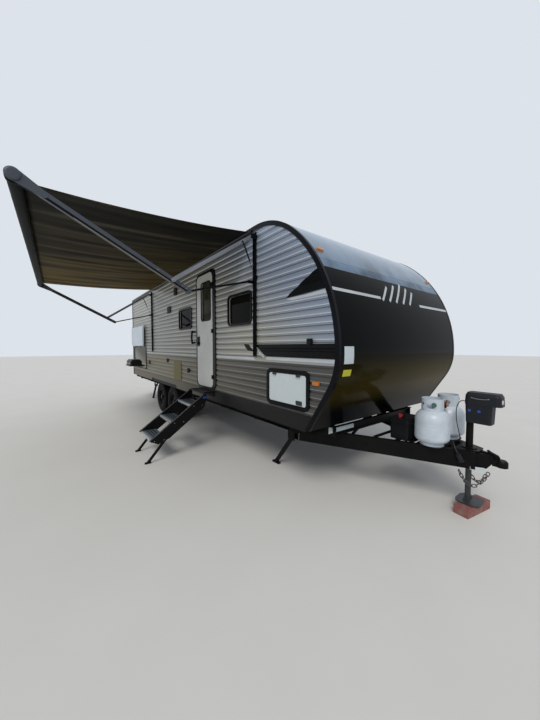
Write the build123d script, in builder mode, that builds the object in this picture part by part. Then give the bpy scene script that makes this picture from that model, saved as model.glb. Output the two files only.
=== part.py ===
from build123d import *
from math import atan2, cos, degrees, hypot, radians, sin, tan
import os

# Travel caravan parked with its awning out, its entry steps down and its outdoor kitchen open.
# Millimetres. X runs forward to the hitch, Y to the left, Z up from the ground.
# The origin is on the ground under the tongue jack.

os.makedirs("parts", exist_ok=True)

# Body shell
half_width = 1220
rear_x = -8630
roof_z = 3007
shell_thickness = 40
wall_thickness = 43
siding_depth = 12
wall_outer = half_width - siding_depth
siding_low = 900
seam_z = 2400
cap_low = 752
rear_corner_radius = 60

# Nose of the side view, from the roof down: radius and turn of each arc
nose_start_x = -1864
nose_arcs = ((1054, 38.2), (1635, 51.8), (625, 32.3))
nose_tail = 900

# Horizontal ribs of the siding
rib_pitch = 78.6
rib_groove = 23
rib_slope = 6
rib_depth = 7
rear_rib_depth = 8

# Edge trim that covers the joint between walls and roof
trim_lip = 3
trim_cover = 46
trim_proud = 7
trim_return = 24

# Floor and running height
floor_low = 722
floor_high = 790
floor_front_x = -1015
skirt_low = 735
skirt_high = 898
skirt_thickness = 10

# Openings: side (-1 right, 1 left), rear edge, front edge, bottom, top, corner radius, frame width
windows = (
    (-1, -2540, -1930, 1855, 2275, 75, 26),
    (-1, -4495, -3850, 1890, 2290, 75, 26),
    (1, -2540, -1930, 1855, 2275, 75, 26),
    (1, -5450, -4300, 1700, 2290, 75, 26),
    (1, -7700, -7100, 1890, 2290, 75, 26),
)
hatches = (
    (-1, -1620, -940, 930, 1335, 75, 42),
    (1, -1620, -940, 930, 1335, 75, 42),
)
kitchen = (-1, -8470, -7050, 968, 1600, 60, 30)
door_frame_rect = (-3625, -2915, 905, 2762)
door_rect = (-3600, -3010, 935, 2725)
door_corner = 95
gap = 5
frame_proud = 12

# Entry door
door_inner_y = -1190
door_outer_y = -1228
door_hinge = (-3000, -1240)
door_window = (-3410, -3080, 1998, 2588)

# Chassis
rail_y = 800
rail_low = 520
rail_high = 720
rail_flange = 76
rail_web = 6
frame_rear_x = -8600
frame_front_x = -960
tongue_low = 440
tongue_high = 600
tongue_half_angle = 25
tongue_apex_x = 300
tongue_wall = 50
cope_x = -1510
cross_x = (-8560, -7600, -6760, -4480, -3400, -2300, -1560, -1010)
outrigger_x = (-8300, -7400, -6700, -4560, -3800, -2800, -1900, -1250)

# Wheels: name, centre along X, side
wheel_radius = 360
tyre_half_width = 112
bead_radius = 192
spindle_radius = 25.9
hub_radius = 26
wheel_mid_y = 1037
axle_x = (-5190, -6050)
wheels = (
    ("front_right", -5190, -1),
    ("rear_right", -6050, -1),
    ("front_left", -5190, 1),
    ("rear_left", -6050, 1),
)

# Coupler
coupler_ball = (252, 0, 500)
coupler_low = 456
socket_radius = 30

# Tongue jack
jack_outer_radius = 30
jack_inner_radius = 25
jack_outer_low = 406
jack_head_low = 860
jack_head_step = 1035
block_height = 84
foot_height = 14

# Gas cylinders
cylinder_x = -262
cylinder_y = 188
cylinder_radius = 155
cylinder_base = 606

# Steps under the entry door
step_near_x = -2975
step_far_x = -3555
step_plate = 18
step_pivot = (-1400, 850)
step_fall = 35.6
step_length = 960
step_fronts = ((-1595, 716), (-1882, 511), (-2158, 303))
step_depth = 215

# Awning: the arm planes along X and the pins of the fold seen from the front, Y and Z
awning_front_x = -1860
awning_rear_x = -6380
awning_pin_y = -1290
beam_pin_z = 2860
elbow = (-2050, 2143)
arm_rise = 27.6
arm_heel = 181
arm_reach = 1476
arm_half = 16
beam_inner, beam_outer = 18, 38
lower_inner, lower_outer = 18, 29
channel_inner, channel_outer = 17, 30
strut_inner, strut_outer = 39.5, 47.5
strut_on_beam = 160
strut_foot = (-1264, 2415)
roller_radius = 52

# Stabilizer legs: name, pivot along X, side
stabilizers = (
    ("front_right", -1640, -1),
    ("front_left", -1640, 1),
    ("rear_right", -7720, -1),
    ("rear_left", -7720, 1),
)
leg_pivot_z = 452
leg_slope = 52


def keep(sub_part, name):
    sub_part.part.label = name
    export_step(sub_part.part, f"parts/{name}.step")


def side_view(inset, bottom):
    # Side view of the body, drawn in X and Z, drawn in by inset and cut off level at bottom
    with BuildSketch() as view:
        with BuildLine():
            roof = Line((rear_x, roof_z), (nose_start_x, roof_z))
            first = JernArc(roof @ 1, (1, 0), nose_arcs[0][0], -nose_arcs[0][1])
            second = JernArc(first @ 1, first % 1, nose_arcs[1][0], -nose_arcs[1][1])
            third = JernArc(second @ 1, second % 1, nose_arcs[2][0], -nose_arcs[2][1])
            slant = Line(third @ 1, third @ 1 + (third % 1) * nose_tail)
            Polyline(slant @ 1, (rear_x, (slant @ 1).Y), (rear_x, roof_z))
        make_face()
        fillet(view.vertices().sort_by(Axis.X)[:2].sort_by(Axis.Y)[-1], rear_corner_radius)
        if inset:
            offset(amount=-inset, kind=Kind.INTERSECTION)
        with Locations((rear_x / 2, bottom)):
            Rectangle(-2 * rear_x, 2000, align=(Align.CENTER, Align.MAX), mode=Mode.SUBTRACT)
    return view.sketch


def cord_path(points):
    # Straight runs joined by tangent arcs, each arc as large as its two runs allow
    points = [Vector(*point) for point in points]
    radii = []
    with BuildLine() as path:
        start = points[0]
        for before, corner, after in zip(points, points[1:], points[2:]):
            back, ahead = (before - corner), (after - corner)
            half_turn = radians(180 - back.get_angle(ahead)) / 2
            setback = 0.45 * min(back.length, ahead.length)
            radii.append(round(setback / tan(half_turn)))
            enter = corner + back.normalized() * setback
            leave = corner + ahead.normalized() * setback
            Line(start, enter)
            TangentArc(enter, leave, tangent=corner - enter)
            start = leave
        Line(start, points[-1])
    print("cord radii", radii)
    return path.line


def plate(rear, front, low, high, radius, inset=0):
    # Rounded rectangle in X and Z
    with BuildSketch() as shape:
        with Locations(((rear + front) / 2, (low + high) / 2)):
            RectangleRounded(front - rear - 2 * inset, high - low - 2 * inset, max(radius - inset, 4))
    return shape.sketch


def side_plane(side, distance):
    # Plane seen from the front as a vertical line at distance on one side; local Y is up
    return Plane.XZ.offset(-side * distance)


# Walls, each as thick as the real panel, with their windows and hatches cut
for side, name in ((-1, "right_wall"), (1, "left_wall")):
    with BuildPart() as wall:
        with BuildSketch(side_plane(side, wall_outer)):
            add(side_view(shell_thickness, floor_high))
            for where, *rect, frame in windows + hatches + (kitchen,):
                if where == side:
                    add(plate(*rect, inset=frame), mode=Mode.SUBTRACT)
            if side == -1:
                add(plate(*door_rect, door_corner, inset=-gap), mode=Mode.SUBTRACT)
        extrude(amount=side * wall_thickness)
    keep(wall, name)

# Rear wall, roof with its front curve, and the front cap, all the full width
with BuildPart() as rear_wall:
    with BuildSketch(Plane.XZ):
        add(plate(rear_x, rear_x + shell_thickness, floor_low, 2900, 0, inset=0))
    extrude(amount=half_width, both=True)
keep(rear_wall, "rear_wall")

with BuildPart() as roof:
    with BuildSketch(Plane.XZ):
        add(side_view(0, seam_z))
        add(side_view(shell_thickness, seam_z), mode=Mode.SUBTRACT)
        with Locations((rear_x, 2900)):
            Rectangle(400, 900, align=(Align.CENTER, Align.MAX), mode=Mode.SUBTRACT)
    extrude(amount=half_width, both=True)
keep(roof, "roof")

with BuildPart() as front_cap:
    with BuildSketch(Plane.XZ):
        add(side_view(0, cap_low))
        add(side_view(shell_thickness, cap_low), mode=Mode.SUBTRACT)
        with Locations((rear_x, 0)):
            Rectangle(9000, 9000, align=(Align.CENTER, Align.MIN), mode=Mode.SUBTRACT)
        with Locations((rear_x, seam_z - 2)):
            Rectangle(30000, 3000, align=(Align.CENTER, Align.MIN), mode=Mode.SUBTRACT)
    extrude(amount=half_width, both=True)
keep(front_cap, "front_cap")


def ribs(low, high, back, depth):
    # Closed section of ribbed siding: distance outward from back, and height
    points = [(back, low)]
    face = back + siding_depth
    for row in range(int((high - low) / rib_pitch)):
        z = low + row * rib_pitch
        points += [(face - depth, z), (face - depth, z + rib_groove)]
        points += [(face, z + rib_groove + rib_slope), (face, z + rib_pitch - rib_slope)]
    top = low + int((high - low) / rib_pitch) * rib_pitch
    points += [(face - depth, top), (face - depth, high), (back, high)]
    return points


# Ribbed siding of the two sides and the rear
with BuildPart() as siding:
    for side in (-1, 1):
        with BuildSketch(Plane.YZ.offset(rear_x)):
            profile = ribs(siding_low, roof_z, wall_outer, rib_depth)
            with BuildLine():
                Polyline([(side * y, z) for y, z in profile], close=True)
            make_face()
        extrude(amount=-rear_x)
    with BuildSketch(Plane.XZ):
        add(side_view(trim_cover, siding_low))
    extrude(amount=2 * half_width, both=True, mode=Mode.INTERSECT)
    for side in (-1, 1):
        with BuildSketch(side_plane(side, wall_outer)):
            for where, *rect, frame in windows + hatches + (kitchen,):
                if where == side:
                    add(plate(*rect))
            if side == -1:
                add(plate(*door_frame_rect, door_corner + 20))
        extrude(amount=-side * 40, mode=Mode.SUBTRACT)
    with BuildSketch(Plane.XZ.offset(half_width - trim_cover)):
        with BuildLine():
            back = -rear_x - siding_depth + rear_rib_depth
            Polyline([(-x, z) for x, z in ribs(siding_low, 2890, back, rear_rib_depth - 1)], close=True)
        make_face()
        with Locations((rear_x, siding_low - 100)):
            Rectangle(500, 3000, align=(Align.MIN, Align.MIN), mode=Mode.SUBTRACT)
    extrude(amount=-2 * (half_width - trim_cover))
    # Smooth skirts below the ribs, cut for the wheels
    for side in (-1, 1):
        with BuildSketch(side_plane(side, wall_outer)):
            add(side_view(trim_cover, skirt_low))
            with Locations((rear_x, skirt_high)):
                Rectangle(30000, 5000, align=(Align.CENTER, Align.MIN), mode=Mode.SUBTRACT)
            with BuildLine():
                Polyline((-6560, skirt_low - 10), (-6500, 800), (-4740, 800), (-4680, skirt_low - 10),
                         close=True)
            make_face(mode=Mode.SUBTRACT)
        extrude(amount=-side * skirt_thickness)
keep(siding, "siding")

# Black edge trim round the side view, a lip on the face and a return over the edge
with BuildPart() as edge_trim:
    with BuildSketch(side_plane(-1, half_width)):
        add(side_view(-trim_lip, cap_low))
        add(side_view(trim_cover, cap_low), mode=Mode.SUBTRACT)
    extrude(amount=trim_proud)
    with BuildSketch(side_plane(-1, half_width + trim_proud)):
        add(side_view(-trim_lip, cap_low))
        add(side_view(0, cap_low), mode=Mode.SUBTRACT)
    extrude(amount=-trim_return - trim_proud)
    mirror(about=Plane.XZ)
keep(edge_trim, "edge_trim")

# Frames of the windows, hatches, kitchen and entry door
with BuildPart() as opening_frames:
    for where, *rect, frame in windows + hatches + (kitchen,):
        with BuildSketch(side_plane(where, wall_outer)):
            add(plate(*rect))
            add(plate(*rect, inset=frame), mode=Mode.SUBTRACT)
        extrude(amount=-where * (siding_depth + frame_proud))
    with BuildSketch(side_plane(-1, wall_outer)):
        add(plate(*door_frame_rect, door_corner + 20))
        add(plate(*door_rect, door_corner, inset=-gap), mode=Mode.SUBTRACT)
    extrude(amount=siding_depth + frame_proud)
keep(opening_frames, "opening_frames")

# Dark glass set back in the window frames
with BuildPart() as window_glass:
    for where, *rect, frame in windows:
        with BuildSketch(side_plane(where, wall_outer - 8)):
            add(plate(*rect, inset=frame))
        extrude(amount=where * 6)
keep(window_glass, "window_glass")

# Entry door, its glass, and its latch and hinge knuckles
with BuildPart() as entry_door:
    with BuildSketch(Plane.XZ.offset(-door_inner_y)):
        add(plate(*door_rect, door_corner))
        add(plate(*door_window, 45), mode=Mode.SUBTRACT)
    extrude(amount=door_inner_y - door_outer_y)
keep(entry_door, "entry_door")

with BuildPart() as door_glass:
    with BuildSketch(Plane.XZ.offset(-door_inner_y + 14)):
        add(plate(*door_window, 45))
    extrude(amount=8)
keep(door_glass, "door_glass")

with BuildPart() as door_hardware:
    with BuildSketch(Plane.XZ.offset(-door_outer_y)):
        add(plate(-3575, -3490, 1585, 1745, 12))
        add(plate(*door_window, 45, inset=-16))
        add(plate(*door_window, 45, inset=8), mode=Mode.SUBTRACT)
    extrude(amount=8)
    with BuildSketch(Plane.XZ.offset(-door_outer_y + 8)):
        add(plate(-3562, -3503, 1612, 1655, 10))
    extrude(amount=24)
    for z in (1120, 1830, 2540):
        with BuildSketch(Plane.XY.offset(z - 45)):
            with Locations(door_hinge):
                Circle(7)
            with Locations((door_hinge[0] - 7, door_outer_y - 6)):
                Rectangle(34, 12, align=(Align.MAX, Align.CENTER))
            with Locations((door_hinge[0] - 7, door_hinge[1])):
                Rectangle(14, 9)
        extrude(amount=60)
keep(door_hardware, "door_hardware")

# Baggage doors, hinged along the top edge
for side, name in ((-1, "baggage_door_right"), (1, "baggage_door_left")):
    where, rear, front, low, high, radius, frame = hatches[0]
    with BuildPart() as baggage_door:
        with BuildSketch(side_plane(side, wall_outer - 13)):
            add(plate(rear, front, low, high, radius, inset=frame + gap))
        extrude(amount=-side * 30)
        with BuildSketch(side_plane(side, wall_outer + 17)):
            add(plate(rear + 500, rear + 590, low + frame + 16, low + frame + 60, 10))
        extrude(amount=-side * 14)
        for x in (rear + 120, front - 180):
            with BuildSketch(Plane.YZ.offset(x)):
                with Locations((side * 1238, 1292.5)):
                    Circle(4)
                with Locations((side * 1238.5, 1292.5)):
                    Rectangle(3, 24, align=(Align.CENTER, Align.MAX))
            extrude(amount=60)
    keep(baggage_door, name)

# Outdoor kitchen: the tub in the wall, its lifted door, and the griddle on its slide
where, rear, front, low, high, radius, frame = kitchen
with BuildPart() as kitchen_tub:
    with BuildSketch(Plane.XZ.offset(wall_outer - wall_thickness)):
        add(plate(rear, front, low, high, radius, inset=frame - 16))
    extrude(amount=-420)
    with BuildSketch(Plane.XZ.offset(wall_outer - wall_thickness)):
        add(plate(rear, front, low, high, radius, inset=frame))
    extrude(amount=-404, mode=Mode.SUBTRACT)
keep(kitchen_tub, "kitchen_tub")

kitchen_hinge_y = -1246
kitchen_hinge_z = high - frame + 14
with BuildPart() as kitchen_door:
    door_height = high - low - 2 * frame - 2 * gap - 4
    with BuildSketch(Plane.XZ.offset(-kitchen_hinge_y + 20)):
        add(plate(rear + frame + gap, front - frame - gap, kitchen_hinge_z + 19,
                  kitchen_hinge_z + 19 + door_height, radius))
    extrude(amount=28)
    for x in (-8320, -7780, -7240):
        with BuildSketch(Plane.YZ.offset(x)):
            with Locations((kitchen_hinge_y, kitchen_hinge_z)):
                Circle(7)
                Rectangle(6, 35, align=(Align.CENTER, Align.MIN))
            with Locations((kitchen_hinge_y + 3, kitchen_hinge_z + 35)):
                Rectangle(23, 14, align=(Align.MAX, Align.MAX))
        extrude(amount=40)
keep(kitchen_door, "kitchen_door")

with BuildPart() as kitchen_griddle:
    with BuildSketch(Plane.XZ.offset(1100)):
        add(plate(-8330, -7700, 1022, 1050, 8))
    extrude(amount=400)
    with BuildSketch(Plane.XY.offset(1050)):
        with Locations((-8010, -1330)):
            RectangleRounded(600, 300, 40)
    extrude(amount=120)
    with BuildSketch(Plane.XY.offset(1170)):
        with Locations((-8010, -1330)):
            RectangleRounded(560, 260, 30)
    extrude(amount=40, taper=30)
keep(kitchen_griddle, "kitchen_griddle")

# Floor with its wheel boxes
with BuildPart() as floor:
    with BuildSketch(Plane.XY.offset(floor_low)):
        with Locations(((rear_x + shell_thickness + 2 + floor_front_x) / 2, 0)):
            Rectangle(floor_front_x - rear_x - shell_thickness - 2, 2 * wall_outer - 4)
    extrude(amount=floor_high - floor_low)
    box_rear, box_front = -6560, -4680
    for side in (-1, 1):
        with BuildSketch(Plane.XY.offset(floor_high)):
            with Locations(((box_rear + box_front) / 2, side * 1030)):
                Rectangle(box_front - box_rear + 30, 260)
        extrude(amount=125)
        with BuildSketch(Plane.XY.offset(floor_low)):
            with Locations(((box_rear + box_front) / 2, side * 1030)):
                Rectangle(box_front - box_rear, 250)
        extrude(amount=floor_high - floor_low + 110, mode=Mode.SUBTRACT)
keep(floor, "floor")

# Chassis: two I-beams, with the cross members, outriggers and bumper that stand off their webs
with BuildPart() as main_rails:
    for side in (-1, 1):
        with BuildSketch(Plane.YZ.offset(frame_rear_x)):
            with Locations((side * rail_y, rail_low), (side * rail_y, rail_high - rail_web)):
                Rectangle(rail_flange, rail_web, align=(Align.CENTER, Align.MIN))
            with Locations((side * rail_y, rail_low)):
                Rectangle(rail_web, rail_high - rail_low, align=(Align.CENTER, Align.MIN))
        extrude(amount=frame_front_x - frame_rear_x)
    with BuildSketch(Plane.XZ):
        with Locations((cope_x, rail_low)):
            Rectangle(2000, tongue_high - rail_low, align=(Align.MIN, Align.MIN))
    extrude(amount=2 * rail_y, both=True, mode=Mode.SUBTRACT)
keep(main_rails, "main_rails")

with BuildPart() as cross_members:
    reach = rail_y - rail_web / 2
    for x in cross_x:
        with BuildSketch(Plane.YZ.offset(x)):
            with Locations((0, rail_high - rail_web)):
                Rectangle(2 * reach, 94, align=(Align.CENTER, Align.MAX))
        extrude(amount=5)
        for lower in (rail_high - rail_web - 5, rail_high - rail_web - 94):
            with BuildSketch(Plane.YZ.offset(x)):
                with Locations((0, lower)):
                    Rectangle(2 * reach, 5, align=(Align.CENTER, Align.MIN))
            extrude(amount=40)
    for x in outrigger_x:
        for side in (-1, 1):
            with BuildSketch(Plane.YZ.offset(x)):
                with BuildLine():
                    Polyline((side * (rail_y + rail_web / 2), 560),
                             (side * (rail_y + rail_web / 2), rail_high - rail_web),
                             (side * (rail_y + 38), rail_high - rail_web), (side * (rail_y + 38), rail_high),
                             (side * (wall_outer - 5), rail_high), (side * (wall_outer - 5), 680), close=True)
                make_face()
            extrude(amount=5)
            with BuildSketch(Plane.YZ.offset(x)):
                with Locations((side * (rail_y + wall_outer - 5 + 38) / 2, rail_high - 2.5)):
                    Rectangle(wall_outer - rail_y - 43, 5)
            extrude(amount=40)
    with BuildSketch(Plane.YZ.offset(-8790)):
        with Locations((0, 610)):
            RectangleRounded(1960, 100, 14)
    extrude(amount=100)
    for side in (-1, 1):
        with BuildSketch(Plane.YZ.offset(-8690)):
            with Locations((side * rail_y, 610)):
                Rectangle(60, 90)
        extrude(amount=90)
keep(cross_members, "cross_members")

# A-frame: two channels that open inwards, with their own cross pieces
with BuildPart() as a_frame:
    rail_run = (tongue_apex_x + 1490) / cos(radians(tongue_half_angle))
    for side in (-1, 1):
        heading = Vector(-cos(radians(tongue_half_angle)), side * sin(radians(tongue_half_angle)), 0)
        section = Plane(origin=(tongue_apex_x, 0, 0), x_dir=Vector(0, 0, 1).cross(heading), z_dir=heading)
        inward = 1 if section.x_dir.Y * side < 0 else -1
        with BuildSketch(section.offset(240)):
            with BuildLine():
                Polyline((0, tongue_low), (inward * tongue_wall, tongue_low),
                         (inward * tongue_wall, tongue_low + 8),
                         (inward * 8, tongue_low + 8), (inward * 8, tongue_high - 8),
                         (inward * tongue_wall, tongue_high - 8), (inward * tongue_wall, tongue_high),
                         (0, tongue_high), close=True)
            make_face()
        extrude(amount=rail_run - 240)
keep(a_frame, "a_frame")

# Plates under the jack and under the battery, hangers of the springs, stabilizer brackets and step platform
with BuildPart() as frame_brackets:
    with BuildSketch(Plane.XY.offset(tongue_high)):
        with BuildLine():
            Polyline((96, 66), (96, -66), (-90, -160), (-90, 160), close=True)
        make_face()
        Circle(jack_outer_radius, mode=Mode.SUBTRACT)
    extrude(amount=6)
    for x, inner in ((-445, 286), (-560, 340), (-760, 430)):
        with BuildSketch(Plane.YZ.offset(x)):
            with Locations((0, tongue_high)):
                Rectangle(2 * inner, 6, align=(Align.CENTER, Align.MIN))
                Rectangle(6, 40, align=(Align.CENTER, Align.MAX))
        extrude(amount=50)
    for name, x, side in stabilizers:
        with BuildSketch(Plane.YZ.offset(x - 60)):
            with Locations((side * rail_y, rail_low)):
                Rectangle(70, 110, align=(Align.CENTER, Align.MAX))
                Rectangle(58, 110, align=(Align.CENTER, Align.MAX), mode=Mode.SUBTRACT)
            with Locations((side * rail_y, rail_low)):
                Rectangle(70, 6, align=(Align.CENTER, Align.MAX))
        extrude(amount=120)
        with BuildSketch(side_plane(side, rail_y + 35)):
            with Locations((x, leg_pivot_z)):
                Circle(7)
        extrude(amount=side * 70)
    for x in (-4860, -5620, -6380):
        for side in (-1, 1):
            with BuildSketch(Plane.YZ.offset(x - 35)):
                with Locations((side * rail_y, rail_low)):
                    Rectangle(70, 6, align=(Align.CENTER, Align.MAX))
                for lean in (-32, 32):
                    with Locations((side * rail_y + lean, rail_low)):
                        Rectangle(6, 84, align=(Align.CENTER, Align.MAX))
            extrude(amount=70)
    with BuildSketch(Plane.XY.offset(862)):
        with Locations(((step_near_x + step_far_x) / 2, -half_width)):
            Rectangle(step_near_x - step_far_x - 2 * step_plate - 12, 172, align=(Align.CENTER, Align.MAX))
    extrude(amount=22)
    with BuildSketch(Plane.XZ.offset(half_width)):
        with Locations(((step_near_x + step_far_x) / 2, 862)):
            Rectangle(step_near_x - step_far_x - 2 * step_plate - 12, 60, align=(Align.CENTER, Align.MAX))
    extrude(amount=10)
keep(frame_brackets, "frame_brackets")

# Coupler on the nose of the A-frame, with a ball socket that opens downwards
with BuildPart() as coupler:
    with BuildSketch(Plane.XY.offset(coupler_low)):
        with BuildLine():
            Polyline((66, 74), (66, -74), (170, -36), (215, -36), (215, 36), (170, 36), close=True)
        make_face()
    extrude(amount=588 - coupler_low)
    with BuildSketch(Plane.XZ.offset(100)):
        with BuildLine():
            Polyline((60, 592), (160, 592), (215, 562), (215, 592), close=True)
        make_face()
        with BuildLine():
            Polyline((150, coupler_low - 2), (188, 506), (218, 506), (218, coupler_low - 2), close=True)
        make_face()
        with Locations((60, 508)):
            Rectangle(150, 72, align=(Align.MIN, Align.MIN))
            Rectangle(136, 72, align=(Align.MIN, Align.MIN), mode=Mode.SUBTRACT)
    extrude(amount=-200, mode=Mode.SUBTRACT)
    with BuildSketch(Plane.XY.offset(coupler_ball[2] - 4)):
        with Locations((coupler_ball[0], 0)):
            Circle(46)
        with Locations((215, 0)):
            Rectangle(50, 72)
    extrude(amount=44)
    with BuildSketch(Plane.XY.offset(coupler_ball[2] + 40)):
        with Locations((coupler_ball[0], 0)):
            Circle(46)
        with Locations((215, 0)):
            Rectangle(50, 72)
    extrude(amount=16, taper=38)
    with BuildSketch(Plane.XY.offset(coupler_ball[2] - 4)):
        with Locations((coupler_ball[0], 0)):
            Circle(socket_radius)
    extrude(amount=44, mode=Mode.SUBTRACT)
    with BuildSketch(Plane.XZ.offset(11)):
        with BuildLine():
            Polyline((94, 586), (238, 554), (238, 572), (224, 590), (180, 606), (150, 622), (140, 618),
                     (150, 602), (94, 598), close=True)
        make_face()
    extrude(amount=-22)
keep(coupler, "coupler")

# Axles with their stub spindles and backing plates, and the leaf springs with their equalizers
leaves = ((330, 62), (250, 36), (170, 16), (100, 6))
with BuildPart() as axles_and_springs:
    for x in axle_x:
        with BuildSketch(Plane.XZ.offset(-985)):
            with Locations((x, wheel_radius)):
                Circle(30)
        extrude(amount=1970)
        with BuildSketch(Plane.XZ.offset(-wheel_mid_y - 40)):
            with Locations((x, wheel_radius)):
                Circle(spindle_radius)
        extrude(amount=2 * wheel_mid_y + 80)
        for side in (-1, 1):
            with BuildSketch(side_plane(side, 984)):
                with Locations((x, wheel_radius)):
                    Circle(135)
            extrude(amount=side * 6)
            with BuildSketch(side_plane(side, rail_y + 23)):
                for leaf, (half, rise) in enumerate(leaves):
                    low = 416 - 7 * leaf
                    with BuildLine():
                        under = ThreePointArc((x - half, low + rise), (x, low), (x + half, low + rise))
                        over = ThreePointArc((x - half, low + rise + 8), (x, low + 8),
                                             (x + half, low + rise + 8))
                        Line(under @ 0, over @ 0)
                        Line(under @ 1, over @ 1)
                    make_face()
                with Locations((x - leaves[0][0], 482), (x + leaves[0][0], 482)):
                    Circle(17)
                with Locations((x, 391)):
                    Rectangle(110, 10, align=(Align.CENTER, Align.MIN))
            extrude(amount=side * 46)
    for side in (-1, 1):
        with BuildSketch(side_plane(side, rail_y + 23)):
            with BuildLine():
                Polyline((-5699, 474), (-5699, 492), (-5640, 506), (-5600, 506), (-5541, 492), (-5541, 474),
                         (-5620, 480), close=True)
            make_face()
        extrude(amount=side * 46)
keep(axles_and_springs, "axles_and_springs")

# Wheels: a tyre and a steel rim with its drum on each
for name, x, side in wheels:
    centre = Vector(x, side * wheel_mid_y, wheel_radius)
    spin = Axis(centre, (0, side, 0))
    section = Plane(origin=centre, x_dir=(0, side, 0), z_dir=(side, 0, 0))
    with BuildPart() as tyre:
        with BuildSketch(section):
            with BuildLine():
                inner = ThreePointArc((-84, bead_radius), (-tyre_half_width, 268), (-99, 338))
                inner_shoulder = ThreePointArc(inner @ 1, (-95, 350), (-82, 355))
                crown = ThreePointArc(inner_shoulder @ 1, (0, wheel_radius), (82, 355))
                outer_shoulder = ThreePointArc(crown @ 1, (95, 350), (99, 338))
                outer = ThreePointArc(outer_shoulder @ 1, (tyre_half_width, 268), (84, bead_radius))
                Line(outer @ 1, inner @ 0)
            make_face()
        revolve(axis=spin)
    keep(tyre, f"tyre_{name}")

    with BuildPart() as rim:
        with BuildSketch(section):
            with BuildLine():
                Polyline((-86, 172), (-86, 191), (86, 191), (86, 183), (62, 174), (52, 162), (40, 112),
                         (56, 84), (62, 62), (62, 44), (92, 40), (92, 0), (44, 0), (44, hub_radius),
                         (-36, hub_radius), (-36, 128), (26, 128), (44, 162), (40, 172), close=True)
            make_face()
        revolve(axis=spin)
        with BuildSketch(Plane(origin=centre + Vector(0, side * 40, 0), x_dir=(1, 0, 0), z_dir=(0, side, 0))):
            with PolarLocations(146, 8):
                SlotOverall(44, 26, rotation=90)
        extrude(amount=40, mode=Mode.SUBTRACT)
        with BuildSketch(Plane(origin=centre + Vector(0, side * 50, 0), x_dir=(1, 0, 0), z_dir=(0, side, 0))):
            with PolarLocations(70, 6):
                RegularPolygon(11, 6)
        extrude(amount=24)
    keep(rim, f"rim_{name}")

# Tongue jack: the fixed tube and head, and the leg that slides in it with its foot and timber
with BuildPart() as jack_post:
    with BuildSketch(Plane.XY.offset(jack_outer_low)):
        Circle(jack_outer_radius)
        Circle(jack_inner_radius + 1, mode=Mode.SUBTRACT)
    extrude(amount=jack_head_low - jack_outer_low)
    with BuildSketch(Plane.XY.offset(tongue_high + 6)):
        Circle(62)
        Circle(jack_inner_radius + 1, mode=Mode.SUBTRACT)
    extrude(amount=8)
keep(jack_post, "jack_post")

with BuildPart() as jack_head:
    with BuildSketch(Plane.XY.offset(jack_head_low)):
        with Locations((78, 0)):
            RectangleRounded(200, 130, 24)
    with BuildSketch(Plane.XY.offset(jack_head_step)):
        with Locations((78, 0)):
            RectangleRounded(212, 146, 28)
    loft()
    with BuildSketch(Plane.XY.offset(jack_head_step)):
        with Locations((107, 0)):
            RectangleRounded(286, 152, 42)
    with BuildSketch(Plane.XY.offset(1118)):
        with Locations((107, 0)):
            RectangleRounded(276, 146, 38)
    loft()
    with BuildSketch(Plane.XY.offset(1118)):
        with Locations((107, 0)):
            RectangleRounded(276, 146, 38)
    extrude(amount=28, taper=30)
keep(jack_head, "jack_head")

with BuildPart() as jack_leg:
    with BuildSketch(Plane.XY.offset(block_height)):
        Circle(jack_inner_radius)
    extrude(amount=486)
    with BuildSketch(Plane.XY.offset(block_height)):
        with Locations((18, -3)):
            RectangleRounded(205, 225, 62)
    extrude(amount=foot_height)
    with BuildSketch(Plane.XY.offset(block_height + foot_height)):
        with Locations(Location((0, 0), 70)):
            Rectangle(120, 8)
    extrude(amount=20, taper=10)
keep(jack_leg, "jack_leg")

with BuildPart() as jack_block:
    with BuildSketch():
        with Locations(Location((40, -5), 80)):
            Rectangle(380, 131)
    extrude(amount=block_height)
    chamfer(jack_block.edges(), 2)
keep(jack_block, "jack_block")

# Gas cylinders on their rack, regulator and hoses between them
with BuildPart() as gas_cylinders:
    for side in (-1, 1):
        base = (cylinder_x, side * cylinder_y, cylinder_base)
        with BuildSketch(Plane(origin=base, x_dir=(1, 0, 0), z_dir=(0, -1, 0))):
            with BuildLine():
                Polyline((0, 26), (90, 26), (100, 0), (108, 0), (108, 34))
                low_dome = ThreePointArc((108, 34), (145, 52), (cylinder_radius, 92))
                wall_line = Line(low_dome @ 1, (cylinder_radius, 250))
                high_dome = ThreePointArc(wall_line @ 1, (126, 318), (30, 352))
                Polyline(high_dome @ 1, (30, 372), (0, 372), (0, 26))
            make_face()
        revolve(axis=Axis(base, (0, 0, 1)))
        with BuildSketch(Plane(origin=(base[0], base[1], cylinder_base + 330), z_dir=(0, 0, 1))):
            Circle(98)
            Circle(94, mode=Mode.SUBTRACT)
        extrude(amount=126)
        with BuildSketch(Plane.XZ.offset(-base[1])):
            with Locations((cylinder_x, cylinder_base + 389)):
                SlotOverall(104, 38)
        extrude(amount=150, both=True, mode=Mode.SUBTRACT)
        with BuildSketch(Plane(origin=(base[0], base[1], cylinder_base + 370), z_dir=(0, 0, 1))):
            Rectangle(32, 32)
        extrude(amount=44)
        with BuildSketch(Plane(origin=(base[0], base[1], cylinder_base + 414), z_dir=(0, 0, 1))):
            Circle(30)
        extrude(amount=16)
keep(gas_cylinders, "gas_cylinders")

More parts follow.
